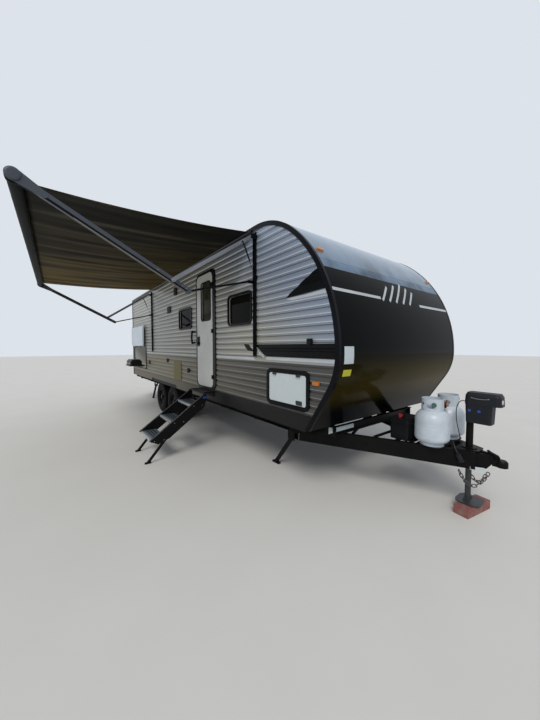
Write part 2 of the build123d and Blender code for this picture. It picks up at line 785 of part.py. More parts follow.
with BuildPart() as cylinder_rack:
    with BuildSketch(Plane.XY.offset(tongue_high)):
        with Locations((cylinder_x, 0)):
            RectangleRounded(230, 2 * cylinder_y + 230, 60)
    extrude(amount=cylinder_base - tongue_high)
    with BuildSketch(Plane.XY.offset(cylinder_base)):
        with Locations((cylinder_x, 0)):
            Circle(7)
    extrude(amount=352)
    with BuildSketch(Plane.XY.offset(cylinder_base + 345)):
        with Locations((cylinder_x, 0)):
            SlotOverall(110, 26)
    extrude(amount=10)
keep(cylinder_rack, "cylinder_rack")

with BuildPart() as gas_regulator:
    with BuildSketch(Plane.XY.offset(cylinder_base + 355)):
        with Locations((cylinder_x + 20, 0)):
            Circle(38)
            Rectangle(40, 96)
    extrude(amount=34)
    with BuildSketch(Plane.XY.offset(cylinder_base + 389)):
        with Locations((cylinder_x + 20, 0)):
            Circle(20)
    extrude(amount=26)
keep(gas_regulator, "gas_regulator")

# Short hoses from the valves to the regulator, and the wire of the jack's motor
hose_routes = (
    (5, ((-242, -48, 980), (-242, -70, 980), (-246, -92, 992), (-252, -118, 1003), (-260, -145, 1006),
         (-262, -160, 1006), (-262, -172, 1006))),
    (5, ((-242, 48, 980), (-242, 70, 980), (-246, 92, 992), (-252, 118, 1003), (-260, 145, 1006),
         (-262, 160, 1006), (-262, 172, 1006))),
    (4, ((-37, 10, 1050), (-78, 10, 1050), (-108, 14, 1018), (-124, 18, 966), (-126, 20, 910),
         (-122, 18, 856), (-112, 14, 802), (-98, 9, 750), (-84, 5, 700), (-74, 1, 652), (-74, 0, 607))),
)
with BuildPart() as gas_hoses:
    for radius, route in hose_routes:
        path = cord_path(route)
        with BuildSketch(Plane(origin=path @ 0, z_dir=path % 0)):
            Circle(radius)
        sweep(path=path)
keep(gas_hoses, "gas_hoses")

# Tow cable over the right channel of the A-frame, ending in its plug
cable_route = ((-118, -74, 556), (-120, -82, 598), (-116, -104, 636), (-98, -136, 658), (-74, -170, 656),
               (-53.5, -194.8, 623.3), (-42, -190, 596))
with BuildPart() as tow_cable:
    path = cord_path(cable_route)
    with BuildSketch(Plane(origin=path @ 0, z_dir=path % 0)):
        Circle(6)
    sweep(path=path)
keep(tow_cable, "tow_cable")

with BuildPart() as tow_plug:
    plug_head = Vector(*cable_route[-1])
    along = (plug_head - Vector(*cable_route[-2])).normalized()
    for start, length, radius, narrow in ((0, 26, 11, 0), (26, 64, 22, 0), (90, 10, 27, 0)):
        with BuildSketch(Plane(origin=plug_head + along * start, z_dir=along)):
            Circle(radius)
        extrude(amount=length)
    with BuildSketch(Plane(origin=plug_head + along * 100, z_dir=-along)):
        Circle(21)
    extrude(amount=8, mode=Mode.SUBTRACT)
keep(tow_plug, "tow_plug")

# Safety chains that hang under the coupler, every other link turned about the chain
link_length, link_width, link_wire = 50, 32, 6.5
link_pitch = link_length - 2 * link_wire - 3


def chain_spots(side):
    # Points one pitch apart along the sagging chain, from the A-frame to the coupler
    spots = [Vector(-52, side * 108, 408)]
    turn = 0
    for step in range(1, 600):
        part = step / 600
        spot = Vector(-52 + 216 * part, side * (108 - 80 * part), 408 + 28 * part - 620 * part * (1 - part))
        if (spot - spots[-1]).length >= link_pitch:
            spots.append(spot)
    return spots


with BuildPart() as safety_chains:
    for side in (-1, 1):
        spots = chain_spots(side)
        for number in range(1, len(spots) - 1):
            run = spots[number + 1] - spots[number - 1]
            flat = Vector(0, 1, 0).cross(run)
            face = flat if number % 2 else run.cross(flat)
            with BuildSketch(Plane(origin=spots[number], x_dir=run, z_dir=face)):
                for length, width, cut, mode in (
                    (link_length, link_width, 9, Mode.ADD),
                    (link_length - 2 * link_wire, link_width - 2 * link_wire, 5, Mode.SUBTRACT),
                ):
                    outline = [(length / 2, width / 2 - cut), (length / 2 - cut, width / 2)]
                    outline += [(-x, y) for x, y in reversed(outline)]
                    outline += [(-x, -y) for x, y in outline]
                    with BuildLine():
                        Polyline(*outline, close=True)
                    make_face(mode=mode)
            extrude(amount=link_wire / 2, both=True)
keep(safety_chains, "safety_chains")

# Battery box beside the cylinders, with the knob of its switch
with BuildPart() as battery_box:
    with BuildSketch(Plane.XY.offset(tongue_high + 6)):
        with Locations((-534, -175)):
            RectangleRounded(188, 290, 20)
    extrude(amount=170, taper=-2)
    with BuildSketch(Plane.XY.offset(tongue_high + 176)):
        with Locations((-534, -175)):
            RectangleRounded(212, 314, 24)
    extrude(amount=52, taper=12)
    with BuildSketch(Plane.XY.offset(tongue_high + 228)):
        with Locations((-520, -275)):
            Circle(22)
    extrude(amount=14)
    with BuildSketch(Plane.XY.offset(tongue_high + 242)):
        with Locations((-520, -275)):
            Rectangle(40, 14)
    extrude(amount=24)
keep(battery_box, "battery_box")

# Entry steps: side plates with their legs, and treads
step_cos, step_sin = cos(radians(step_fall)), sin(radians(step_fall))
with BuildPart() as step_rails:
    for x in (step_near_x, step_far_x):
        shift = 0 if x == step_near_x else step_plate
        with BuildSketch(Plane.YZ.offset(x - step_plate + shift)):
            along = Vector(-step_cos, -step_sin)
            up = Vector(-step_sin, step_cos)
            top = Vector(*step_pivot) + up * 12
            with BuildLine():
                first_corner = top - along * 30
                second_corner = top + along * step_length
                Polyline(first_corner, second_corner, second_corner - up * 120 - along * 60,
                         second_corner - up * 165 - along * 220, first_corner - up * 165 + along * 120,
                         first_corner - up * 60, close=True)
            make_face()
            with BuildLine():
                leg_top = Vector(-1960, 300)
                leg_foot = Vector(-2205, 14)
                lean = (leg_foot - leg_top).normalized()
                side_step = Vector(-lean.Y, lean.X) * 17
                Polyline(leg_top + side_step, leg_foot + side_step, leg_foot - side_step,
                         leg_top - side_step, close=True)
            make_face()
            with Locations((leg_foot.X, 1)):
                Rectangle(80, 24, align=(Align.CENTER, Align.MIN))
        extrude(amount=step_plate)
        outward = 1 if x == step_near_x else -1
        with BuildSketch(Plane.YZ.offset(x)):
            with Locations(step_pivot):
                Circle(14)
        extrude(amount=outward * 8)
keep(step_rails, "step_rails")

with BuildPart() as step_treads:
    for front_y, top_z in step_fronts:
        with BuildSketch(Plane.XZ.offset(-front_y)):
            with Locations(((step_near_x + step_far_x) / 2, top_z)):
                Rectangle(step_near_x - step_far_x - 2 * step_plate, 32, align=(Align.CENTER, Align.MAX))
        extrude(amount=-step_depth)
keep(step_treads, "step_treads")

# Awning fold: a beam and a thin lower arm hang from the wall and carry the long arm with the roller
arm_cos, arm_sin = cos(radians(arm_rise)), sin(radians(arm_rise))
beam_end = Vector(elbow[0] - arm_heel * arm_cos, elbow[1] + arm_heel * arm_sin)
roller_end = Vector(elbow[0] - arm_reach * arm_cos, elbow[1] + arm_reach * arm_sin)
beam_length = hypot(beam_end.X - awning_pin_y, beam_end.Y - beam_pin_z)
beam_fall = degrees(atan2(beam_pin_z - beam_end.Y, awning_pin_y - beam_end.X))
folded_elbow_z = beam_pin_z - beam_length - arm_heel
elbow_out = awning_pin_y - elbow[0]
lower_pin_z = (elbow_out ** 2 + elbow[1] ** 2 - folded_elbow_z ** 2) / (2 * (elbow[1] - folded_elbow_z))
lower_fall = degrees(atan2(lower_pin_z - elbow[1], elbow_out))
print("beam end", beam_end, "roller", roller_end, "lower pin height", lower_pin_z)
print("beam turns", 90 - beam_fall, "lower arm turns", 90 - lower_fall, "long arm turns", 90 - arm_rise)


def link(start, end, width):
    # Straight arm with round ends in Y and Z
    with BuildSketch() as shape:
        run = Vector(*end) - Vector(*start)
        middle = (Vector(*start) + Vector(*end)) * 0.5
        with Locations(Location((middle.X, middle.Y), degrees(atan2(run.Y, run.X)))):
            SlotCenterToCenter(run.length, width)
    return shape.sketch


def across(x, out, near, far):
    # Distance along X to the nearer edge, and the thickness, of a piece between two offsets on the out side
    return x + out * near, out * (far - near)


arm_ends = ((awning_front_x, 1), (awning_rear_x, -1))
beam_pin = (awning_pin_y, beam_pin_z)
lower_pin = (awning_pin_y, lower_pin_z)
strut_head = Vector(*beam_pin) + (beam_end - Vector(*beam_pin)).normalized() * strut_on_beam

with BuildPart() as awning_channels:
    for x, out in arm_ends:
        start, thick = across(x, out, -channel_inner, channel_outer)
        with BuildSketch(Plane.XY.offset(1460)):
            with Locations((start + thick / 2, -half_width)):
                Rectangle(abs(thick), 26, align=(Align.CENTER, Align.MAX))
            with Locations((start + thick / 2, -half_width - 8)):
                Rectangle(abs(thick) - 10, 18, align=(Align.CENTER, Align.MAX), mode=Mode.SUBTRACT)
        extrude(amount=2925 - 1460)
        # Brackets with the pins of the beam and of the lower arm
        for near, far, plate_near, pin_z, half, pin_length in (
            (channel_outer, beam_outer + 6, beam_outer + 1, beam_pin_z, 26, -24),
            (-channel_inner, -lower_outer - 5, -lower_outer - 1, lower_pin_z, 18, 14),
        ):
            start, thick = across(x, out, near, far)
            with BuildSketch(Plane.YZ.offset(start)):
                with Locations((-half_width, pin_z)):
                    Rectangle(34, 2 * half, align=(Align.MAX, Align.CENTER))
            extrude(amount=thick)
            start, thick = across(x, out, plate_near, far)
            with BuildSketch(Plane.YZ.offset(start)):
                with Locations((-half_width - 20, pin_z)):
                    Rectangle(awning_pin_y * -1 - half_width - 4, 2 * half, align=(Align.MAX, Align.CENTER))
            extrude(amount=thick)
            with BuildSketch(Plane.YZ.offset(x + out * far)):
                with Locations((awning_pin_y, pin_z)):
                    Circle(6)
            extrude(amount=out * pin_length)
        start, thick = across(x, out, channel_outer, strut_outer)
        with BuildSketch(Plane.YZ.offset(start)):
            with Locations((-half_width, strut_foot[1] - 8)):
                Rectangle(28, 30, align=(Align.MAX, Align.MAX))
        extrude(amount=thick)
    with BuildSketch(Plane.YZ.offset(awning_rear_x + 60)):
        with Locations((-half_width - trim_proud, 2945)):
            Rectangle(13, 30, align=(Align.MAX, Align.MIN))
    extrude(amount=awning_front_x - awning_rear_x - 120)
keep(awning_channels, "awning_channels")

with BuildPart() as awning_beams:
    for x, out in arm_ends:
        start, thick = across(x, out, beam_inner, beam_outer)
        with BuildSketch(Plane.YZ.offset(start)):
            add(link(beam_pin, beam_end, 42))
            with Locations(beam_pin):
                Circle(6.3, mode=Mode.SUBTRACT)
        extrude(amount=thick)
        start, thick = across(x, out, -4, beam_inner)
        with BuildSketch(Plane.YZ.offset(start)):
            with Locations((beam_end.X, beam_end.Y)):
                Circle(7)
        extrude(amount=thick)
keep(awning_beams, "awning_beams")

with BuildPart() as awning_lower_arms:
    for x, out in arm_ends:
        start, thick = across(x, out, -lower_inner, -lower_outer)
        with BuildSketch(Plane.YZ.offset(start)):
            add(link(lower_pin, elbow, 22))
            with Locations(lower_pin):
                Circle(6.3, mode=Mode.SUBTRACT)
        extrude(amount=thick)
        with BuildSketch(Plane.YZ.offset(start + thick)):
            with Locations(elbow):
                RegularPolygon(8, 6)
        extrude(amount=-out * 5)
keep(awning_lower_arms, "awning_lower_arms")

with BuildPart() as awning_struts:
    for x, out in arm_ends:
        middle = x + out * (strut_inner + strut_outer) / 2
        foot = Vector(middle, *strut_foot)
        head = Vector(middle, strut_head.X, strut_head.Y)
        run = head - foot
        with BuildSketch(Plane(origin=foot, z_dir=run)):
            Circle(2.2)
        extrude(amount=run.length)
        with BuildSketch(Plane(origin=foot + run * 0.42, z_dir=run)):
            Circle(3.6)
        extrude(amount=run.length * 0.56)
        start, thick = across(x, out, strut_inner, strut_outer)
        with BuildSketch(Plane.YZ.offset(start)):
            with Locations(strut_foot, (strut_head.X, strut_head.Y)):
                Circle(9)
        extrude(amount=thick)
keep(awning_struts, "awning_struts")

with BuildPart() as awning_arms:
    for x, out in arm_ends:
        with BuildSketch(Plane.YZ.offset(x - arm_half)):
            add(link(elbow, roller_end, 56))
            with Locations((beam_end.X, beam_end.Y)):
                Circle(7.3, mode=Mode.SUBTRACT)
        extrude(amount=2 * arm_half)
keep(awning_arms, "awning_arms")

with BuildPart() as awning_roller:
    with BuildSketch(Plane.YZ.offset(awning_rear_x + arm_half)):
        with Locations((roller_end.X, roller_end.Y)):
            Circle(roller_radius - 7)
    extrude(amount=awning_front_x - awning_rear_x - 2 * arm_half)
    for start in (awning_rear_x + arm_half, awning_front_x - arm_half - 34):
        with BuildSketch(Plane.YZ.offset(start)):
            with Locations((roller_end.X, roller_end.Y)):
                Circle(roller_radius)
        extrude(amount=34)
keep(awning_roller, "awning_roller")

# Awning fabric between the rail on the wall and the roller, with its sag
with BuildPart() as awning_fabric:
    with BuildSketch(Plane.YZ.offset(-6290)):
        wall_edge = Vector(-half_width - trim_proud - 14, 2958)
        roll_edge = Vector(roller_end.X + roller_radius + 2, roller_end.Y + 18)
        middle = (wall_edge + roll_edge) * 0.5 - Vector(0, 45)
        with BuildLine():
            top_arc = ThreePointArc(wall_edge + Vector(0, 8), middle + Vector(0, 8), roll_edge + Vector(0, 8))
            low_arc = ThreePointArc(wall_edge, middle, roll_edge)
            Line(top_arc @ 0, low_arc @ 0)
            Line(top_arc @ 1, low_arc @ 1)
        make_face()
    extrude(amount=6290 - 1960)
keep(awning_fabric, "awning_fabric")

# Stabilizer legs that swing down under the chassis rails
for name, x, side in stabilizers:
    with BuildPart() as leg:
        pivot = Vector(x, leg_pivot_z)
        reach = (leg_pivot_z - 24) / sin(radians(leg_slope))
        foot = pivot + Vector(-cos(radians(leg_slope)), -sin(radians(leg_slope))) * reach
        with BuildSketch(side_plane(side, rail_y + 23)):
            with Locations(Location(((pivot.X + foot.X) / 2, (pivot.Y + foot.Y) / 2), leg_slope)):
                SlotCenterToCenter(reach, 36)
            with Locations((foot.X, 1)):
                Rectangle(130, 20, align=(Align.CENTER, Align.MIN))
            with Locations((pivot.X, pivot.Y)):
                Circle(7.3, mode=Mode.SUBTRACT)
        extrude(amount=side * 46)
    keep(leg, f"stabilizer_{name}")

# Amber marker lamps on the cap and sides, and red lamps at the rear
with BuildPart() as lamps:
    for side in (-1, 1):
        with BuildSketch(side_plane(side, half_width)):
            add(plate(-900, -815, 1205, 1250, 12))
            add(plate(-8480, -8395, 2080, 2125, 12))
        extrude(amount=-side * 16, taper=20)
    for y in (-1120, 1120):
        spot = Plane(origin=(-924.8, y, 2490.2), x_dir=(0, 1, 0), z_dir=(0.794, 0, 0.608))
        with BuildSketch(spot):
            RectangleRounded(100, 38, 16)
        extrude(amount=22, taper=20)
    for y in (-1020, 1020):
        with BuildSketch(Plane.YZ.offset(rear_x - 8)):
            with Locations((y, 1180)):
                RectangleRounded(110, 230, 30)
        extrude(amount=-30, taper=8)
    for y in (-150, 0, 150, -1080, 1080):
        with BuildSketch(Plane.YZ.offset(rear_x - 8)):
            with Locations((y, 2820)):
                RectangleRounded(90, 30, 12)
        extrude(amount=-18, taper=8)
keep(lamps, "lamps")

# Air conditioner shroud and vents on the roof
with BuildPart() as roof_units:
    with BuildSketch(Plane.XY.offset(roof_z)):
        with Locations((-4700, 0)):
            RectangleRounded(1040, 720, 90)
    with BuildSketch(Plane.XY.offset(roof_z + 290)):
        with Locations((-4760, 0)):
            RectangleRounded(760, 560, 120)
    loft()
    fillet(roof_units.faces().sort_by(Axis.Z)[-1].edges(), 40)
    for x, y in ((-2500, 200), (-6500, -300), (-7700, 350)):
        with BuildSketch(Plane.XY.offset(roof_z)):
            with Locations((x, y)):
                RectangleRounded(430, 430, 30)
        extrude(amount=50)
        with BuildSketch(Plane.XY.offset(roof_z + 50)):
            with Locations((x, y)):
                RectangleRounded(450, 450, 50)
        extrude(amount=70, taper=30)
keep(roof_units, "roof_units")

# Small fittings on the right wall: speaker, porch lamp, outlets, hatch catch and the grab handle
fittings = (
    (-5180, -4980, 2280, 2420, 14),
    (-4730, -4590, 2600, 2740, 20),
    (-4830, -4400, 920, 1280, 6),
    (-955, -905, 1590, 1650, 34),
    (-5270, -5190, 1240, 1320, 16),
    (-4070, -3990, 1100, 1180, 16),
    (-6750, -6670, 1140, 1220, 16),
)
with BuildPart() as wall_fittings:
    for rear, front, low, high, depth in fittings:
        with BuildSketch(side_plane(-1, half_width)):
            add(plate(rear, front, low, high, 12))
        extrude(amount=depth)
    for z in (1642, 1828):
        with BuildSketch(side_plane(-1, half_width)):
            with Locations((-3705, z)):
                Circle(15)
        extrude(amount=58)
    with BuildSketch(side_plane(-1, half_width + 44)):
        with BuildLine():
            outer_bow = ThreePointArc((-3710, 1622), (-3738, 1735), (-3710, 1848))
            inner_bow = ThreePointArc((-3688, 1848), (-3713, 1735), (-3688, 1622))
            Line(outer_bow @ 1, inner_bow @ 0)
            Line(inner_bow @ 1, outer_bow @ 0)
        make_face()
    extrude(amount=24)
keep(wall_fittings, "wall_fittings")
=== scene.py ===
import math

import bmesh
import bpy
from mathutils import Matrix, Vector


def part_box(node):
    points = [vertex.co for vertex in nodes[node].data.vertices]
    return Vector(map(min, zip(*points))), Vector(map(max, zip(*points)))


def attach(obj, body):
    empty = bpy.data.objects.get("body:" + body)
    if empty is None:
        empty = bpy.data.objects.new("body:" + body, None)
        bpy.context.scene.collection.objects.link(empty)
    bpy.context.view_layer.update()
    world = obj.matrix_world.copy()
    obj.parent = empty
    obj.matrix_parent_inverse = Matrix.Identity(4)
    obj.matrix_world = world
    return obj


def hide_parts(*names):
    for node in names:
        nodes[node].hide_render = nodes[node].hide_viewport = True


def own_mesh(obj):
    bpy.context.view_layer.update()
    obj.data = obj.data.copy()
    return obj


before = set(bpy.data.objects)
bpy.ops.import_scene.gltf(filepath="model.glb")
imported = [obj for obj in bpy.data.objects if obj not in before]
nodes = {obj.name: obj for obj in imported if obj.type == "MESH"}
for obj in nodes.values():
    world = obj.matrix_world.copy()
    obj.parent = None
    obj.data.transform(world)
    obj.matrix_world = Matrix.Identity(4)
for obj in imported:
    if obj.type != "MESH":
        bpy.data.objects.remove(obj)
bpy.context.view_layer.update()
print("frame loaded:", len(nodes), "parts")


def srgb(hexText):
    # sRGB hex to the linear colour that a shader wants
    values = [int(hexText[i:i + 2], 16) / 255 for i in (1, 3, 5)]
    return [v / 12.92 if v <= 0.04045 else ((v + 0.055) / 1.055) ** 2.4 for v in values] + [1.0]


def perMetre(millimetres):
    # texture scale for a pattern whose repeat is this many millimetres
    return 1000.0 / millimetres


smooth = {"interpolation_type": "SMOOTHSTEP"}


def addNode(tree, kind, settings=None, out=0, **inputs):
    # adds a node and gives back one of its outputs; settings is a dictionary, or the text of a Math operation,
    # and an input is a value or another node's output, by its name or as i with its number
    node = tree.nodes.new("ShaderNode" + kind)
    if isinstance(settings, str):
        settings = {"operation": settings}
    for key, value in (settings or {}).items():
        setattr(node, key, value)
    for key, value in inputs.items():
        socket = node.inputs[int(key[1:]) if key[1:].isdigit() else key.replace("_", " ")]
        if isinstance(value, bpy.types.NodeSocket):
            tree.links.new(value, socket)
        else:
            socket.default_value = value
    return node.outputs[out] if node.outputs else None


def newMaterial(name, roughness=0.5, metallic=0.0, **constants):
    # an empty Principled material with its constant sockets set directly, and the object's coordinates
    material = bpy.data.materials.new(name)
    material.use_nodes = True
    tree = material.node_tree
    for key, value in {"Roughness": roughness, "Metallic": metallic, **constants}.items():
        tree.nodes["Principled BSDF"].inputs[key.replace("_", " ")].default_value = value
    return material, tree, addNode(tree, "TexCoord", out="Object")


def coats(tree, base, *layers):
    # a colour built up in coats: each is how much of it shows, then its colour, as hex or a node's output
    for amount, over in layers:
        under, over = [srgb(colour) if isinstance(colour, str) else colour for colour in (base, over)]
        base = addNode(tree, "Mix", {"data_type": "RGBA"}, 2, i0=amount, i6=under, i7=over)
    return base


def surfaced(material, colour, rough=None, bump=None):
    # rough is (pattern, from, to, low, high); bump is (pattern, strength, depth in metres)
    tree = material.node_tree
    sockets = tree.nodes["Principled BSDF"].inputs
    tree.links.new(colour, sockets["Base Color"])
    if rough:
        pattern, start, end, low, high = rough
        spread = addNode(tree, "MapRange", Value=pattern, i1=start, i2=end, i3=low, i4=high)
        tree.links.new(spread, sockets["Roughness"])
    if bump:
        pattern, strength, depth = bump
        tree.links.new(addNode(tree, "Bump", Strength=strength, Distance=depth, Height=pattern), sockets["Normal"])
    return material


def weathered(name, colour, worn, roughness, metallic=0.0, dust=None, driftMm=260, grainMm=3, fleck=0.25, bump=0.15,
              depth=0.0004, patch=None, **constants):
    # a finish with slow colour drift and a fine grain that carries dust flecks, roughness and bump
    if "black" in name.lower():
        constants = {"Specular_IOR_Level": 0.1, **constants}  # so that black stays black under the soft light
    material, tree, place = newMaterial(name, roughness, metallic, **constants)
    drift = addNode(tree, "TexNoise", out="Fac", Vector=place, Scale=perMetre(driftMm), Detail=4.0, Roughness=0.6)
    grain = addNode(tree, "TexNoise", out="Fac", Vector=place, Scale=perMetre(grainMm), Detail=3.0, Roughness=0.65)
    slow = addNode(tree, "MapRange", Value=drift, i1=0.32, i2=0.68)
    flecks = addNode(tree, "MapRange", Value=grain, i1=0.55, i2=0.75, i3=0.0, i4=fleck)
    layers = [(slow, worn), (flecks, dust or worn)]
    if patch:
        # one painted area: its middle and half size along X and Z, then its colour
        midX, halfX, midZ, halfZ, patchColour = patch
        parts = addNode(tree, "SeparateXYZ", Vector=place).node.outputs
        inX = addNode(tree, "Math", "COMPARE", i0=parts["X"], i1=midX, i2=halfX)
        inZ = addNode(tree, "Math", "COMPARE", i0=parts["Z"], i1=midZ, i2=halfZ)
        layers.append((addNode(tree, "Math", "MULTIPLY", i0=inX, i1=inZ), patchColour))
    return surfaced(material, coats(tree, colour, *layers),
                    (grain, 0.3, 0.7, max(0.02, roughness - 0.08), roughness + 0.08), (grain, bump, depth))


def linked(name, data):
    thing = bpy.data.objects.new(name, data)
    bpy.context.scene.collection.objects.link(thing)
    return thing


def meshPiece(name, points, faces, material, body, smoothShaded=False):
    mesh = bpy.data.meshes.new(name)
    mesh.from_pydata([tuple(p) for p in points], [], faces)
    mesh.validate()
    if smoothShaded:
        mesh.polygons.foreach_set("use_smooth", [True] * len(mesh.polygons))
    mesh.materials.append(material)
    piece = linked(name, mesh)
    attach(piece, body)
    return piece


def outward(piece):
    work = bmesh.new()
    work.from_mesh(piece.data)
    bmesh.ops.recalc_face_normals(work, faces=work.faces)
    work.to_mesh(piece.data)
    work.free()
    return piece


def finish(material, *nodeNames):
    # the CAD nodes whose names start this way take the material
    for nodeName, node in nodes.items():
        if nodeName.startswith(nodeNames):
            node.data.materials.clear()
            node.data.materials.append(material)


def gridFaces(rows, width, closed=False):
    # quads over points laid row after row; closed joins the last row to the first
    return [tuple((row * width + column + step) % (rows * width) for step in (0, 1, width + 1, width))
            for row in range(rows if closed else rows - 1) for column in range(width - 1)]


def turned(profile, centre, axis, segments=48):
    # points and faces of a profile (distance along the axis, radius) turned round an axis through centre
    axis = Vector(axis).normalized()
    side = axis.orthogonal().normalized()
    up = axis.cross(side)
    points = []
    for step in range(segments):
        angle = 2 * math.pi * step / segments
        ray = side * math.cos(angle) + up * math.sin(angle)
        points += [Vector(centre) + axis * along + ray * radius for along, radius in profile]
    return points, gridFaces(segments, len(profile), True)


def addPiece(name, parts, material, body):
    # several (points, faces) lists as one piece
    points, faces = [], []
    for morePoints, moreFaces in parts:
        shift = len(points)
        points += list(morePoints)
        faces += [tuple(i + shift for i in face) for face in moreFaces]
    return outward(meshPiece(name, points, faces, material, body))


cameraPlace = {"eye": (0.95, -3.14, 1.57), "ahead": (-0.795, 0.606), "pitchDeg": -2.66, "lens": 14.0}


def addCamera():
    data = bpy.data.cameras.new("camera")
    data.lens = cameraPlace["lens"]
    data.sensor_width = 36.0
    data.clip_start = 0.05
    data.clip_end = 200.0
    camera = linked("camera", data)
    level = Vector((*cameraPlace["ahead"], 0)).normalized()
    pitch = math.radians(cameraPlace["pitchDeg"])
    look = level * math.cos(pitch) + Vector((0, 0, math.sin(pitch)))
    camera.matrix_world = Matrix.Translation(cameraPlace["eye"]) @ look.to_track_quat("-Z", "Y").to_matrix().to_4x4()
    bpy.context.scene.camera = camera


addCamera()

# extruded PVC and rubber sheaths: black, a little dusty, with a dull shine along the top
cordRubber = weathered("extrudedRubberSheath", "#0e0e0e", "#24231f", 0.55, dust="#3b3831", grainMm=4, fleck=0.2)
# name, diameter in metres, and the route in millimetres
cordRoutes = (
    ("gasHoseRight", 0.010, ((-242, -48, 980), (-242, -70, 980), (-246, -92, 992), (-252, -118, 1003),
                             (-260, -145, 1006), (-262, -160, 1006), (-262, -172, 1006))),
    ("gasHoseLeft", 0.010, ((-242, 48, 980), (-242, 70, 980), (-246, 92, 992), (-252, 118, 1003),
                            (-260, 145, 1006), (-262, 160, 1006), (-262, 172, 1006))),
    ("jackWire", 0.008, ((-37, 10, 1050), (-78, 10, 1050), (-108, 14, 1018), (-124, 18, 966),
                         (-126, 20, 910), (-122, 18, 856), (-112, 14, 802), (-98, 9, 750),
                         (-84, 5, 700), (-74, 1, 652), (-74, 0, 607))),
    ("towCable", 0.012, ((-118, -74, 556), (-120, -82, 598), (-116, -104, 636), (-98, -136, 658),
                         (-74, -170, 656), (-53.5, -194.8, 623.3), (-42, -190, 596))),
)
for cordName, diameter, route in cordRoutes:
    curve = bpy.data.curves.new(cordName, "CURVE")
    curve.dimensions = "3D"
    curve.bevel_depth = diameter / 2
    curve.bevel_resolution = 4
    curve.resolution_u = 10
    curve.use_fill_caps = True
    spline = curve.splines.new("NURBS")
    spline.points.add(len(route) - 1)
    for point, (x, y, z) in zip(spline.points, route):
        point.co = (x / 1000, y / 1000, z / 1000, 1)
    spline.order_u = 3
    spline.use_endpoint_u = True
    curve.materials.append(cordRubber)
    cord = linked(cordName, curve)
    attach(cord, "caravan")
for cordName in ("gasHoseRight", "gasHoseLeft", "jackWire"):
    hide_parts("gas_hoses")
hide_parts("tow_cable")
print("cords laid")


def addStage():
    # pale matt studio floor with a faint mottling, so that it isn't one flat colour
    material, tree, place = newMaterial("mattStudioFloor", 0.9)
    mottle = addNode(tree, "TexNoise", out="Fac", Vector=place, Scale=perMetre(700), Detail=3.0)
    surfaced(material, coats(tree, "#e0deda", (mottle, "#d8d6d1")))
    mesh = bpy.data.meshes.new("studioFloor")
    mesh.from_pydata([(-60, -60, 0), (60, -60, 0), (60, 60, 0), (-60, 60, 0)], [], [(0, 1, 2, 3)])
    mesh.materials.append(material)
    floor = linked("studioFloor", mesh)

    world = bpy.data.worlds.new("studioWorld")
    bpy.context.scene.world = world
    world.use_nodes = True
    tree = world.node_tree
    tree.nodes.clear()
    rays = addNode(tree, "LightPath").node.outputs
    shown = addNode(tree, "Math", "MAXIMUM", i0=rays["Is Camera Ray"], i1=rays["Is Glossy Ray"])
    shown = addNode(tree, "Math", "MAXIMUM", i0=shown, i1=rays["Is Transmission Ray"])
    soft = addNode(tree, "Background", Color=srgb("#dfe6ee"), Strength=0.62)
    pale = addNode(tree, "Background", Color=srgb("#dde3ea"), Strength=1.0)
    addNode(tree, "OutputWorld", Surface=addNode(tree, "MixShader", Fac=shown, i1=soft, i2=pale))

    sun = bpy.data.lights.new("softKey", "SUN")
    sun.energy = 1.5
    sun.angle = math.radians(25)
    sun.color = (1.0, 0.97, 0.92)
    key = linked("softKey", sun)
    key.rotation_euler = Vector((0.55, -0.75, 1.0)).to_track_quat("Z", "Y").to_euler()


addStage()
bpy.context.scene.view_settings.view_transform = "Standard"
print("stage and camera set")

# the siding's ribs as pressed, and the heights where its paint changes
ribs = {"low": 0.900, "pitch": 0.0786, "groove": 0.023, "slope": 0.006, "depth": 0.007, "face": 1.220,
        "twoTone": 1.405, "skirtTop": 0.8985}


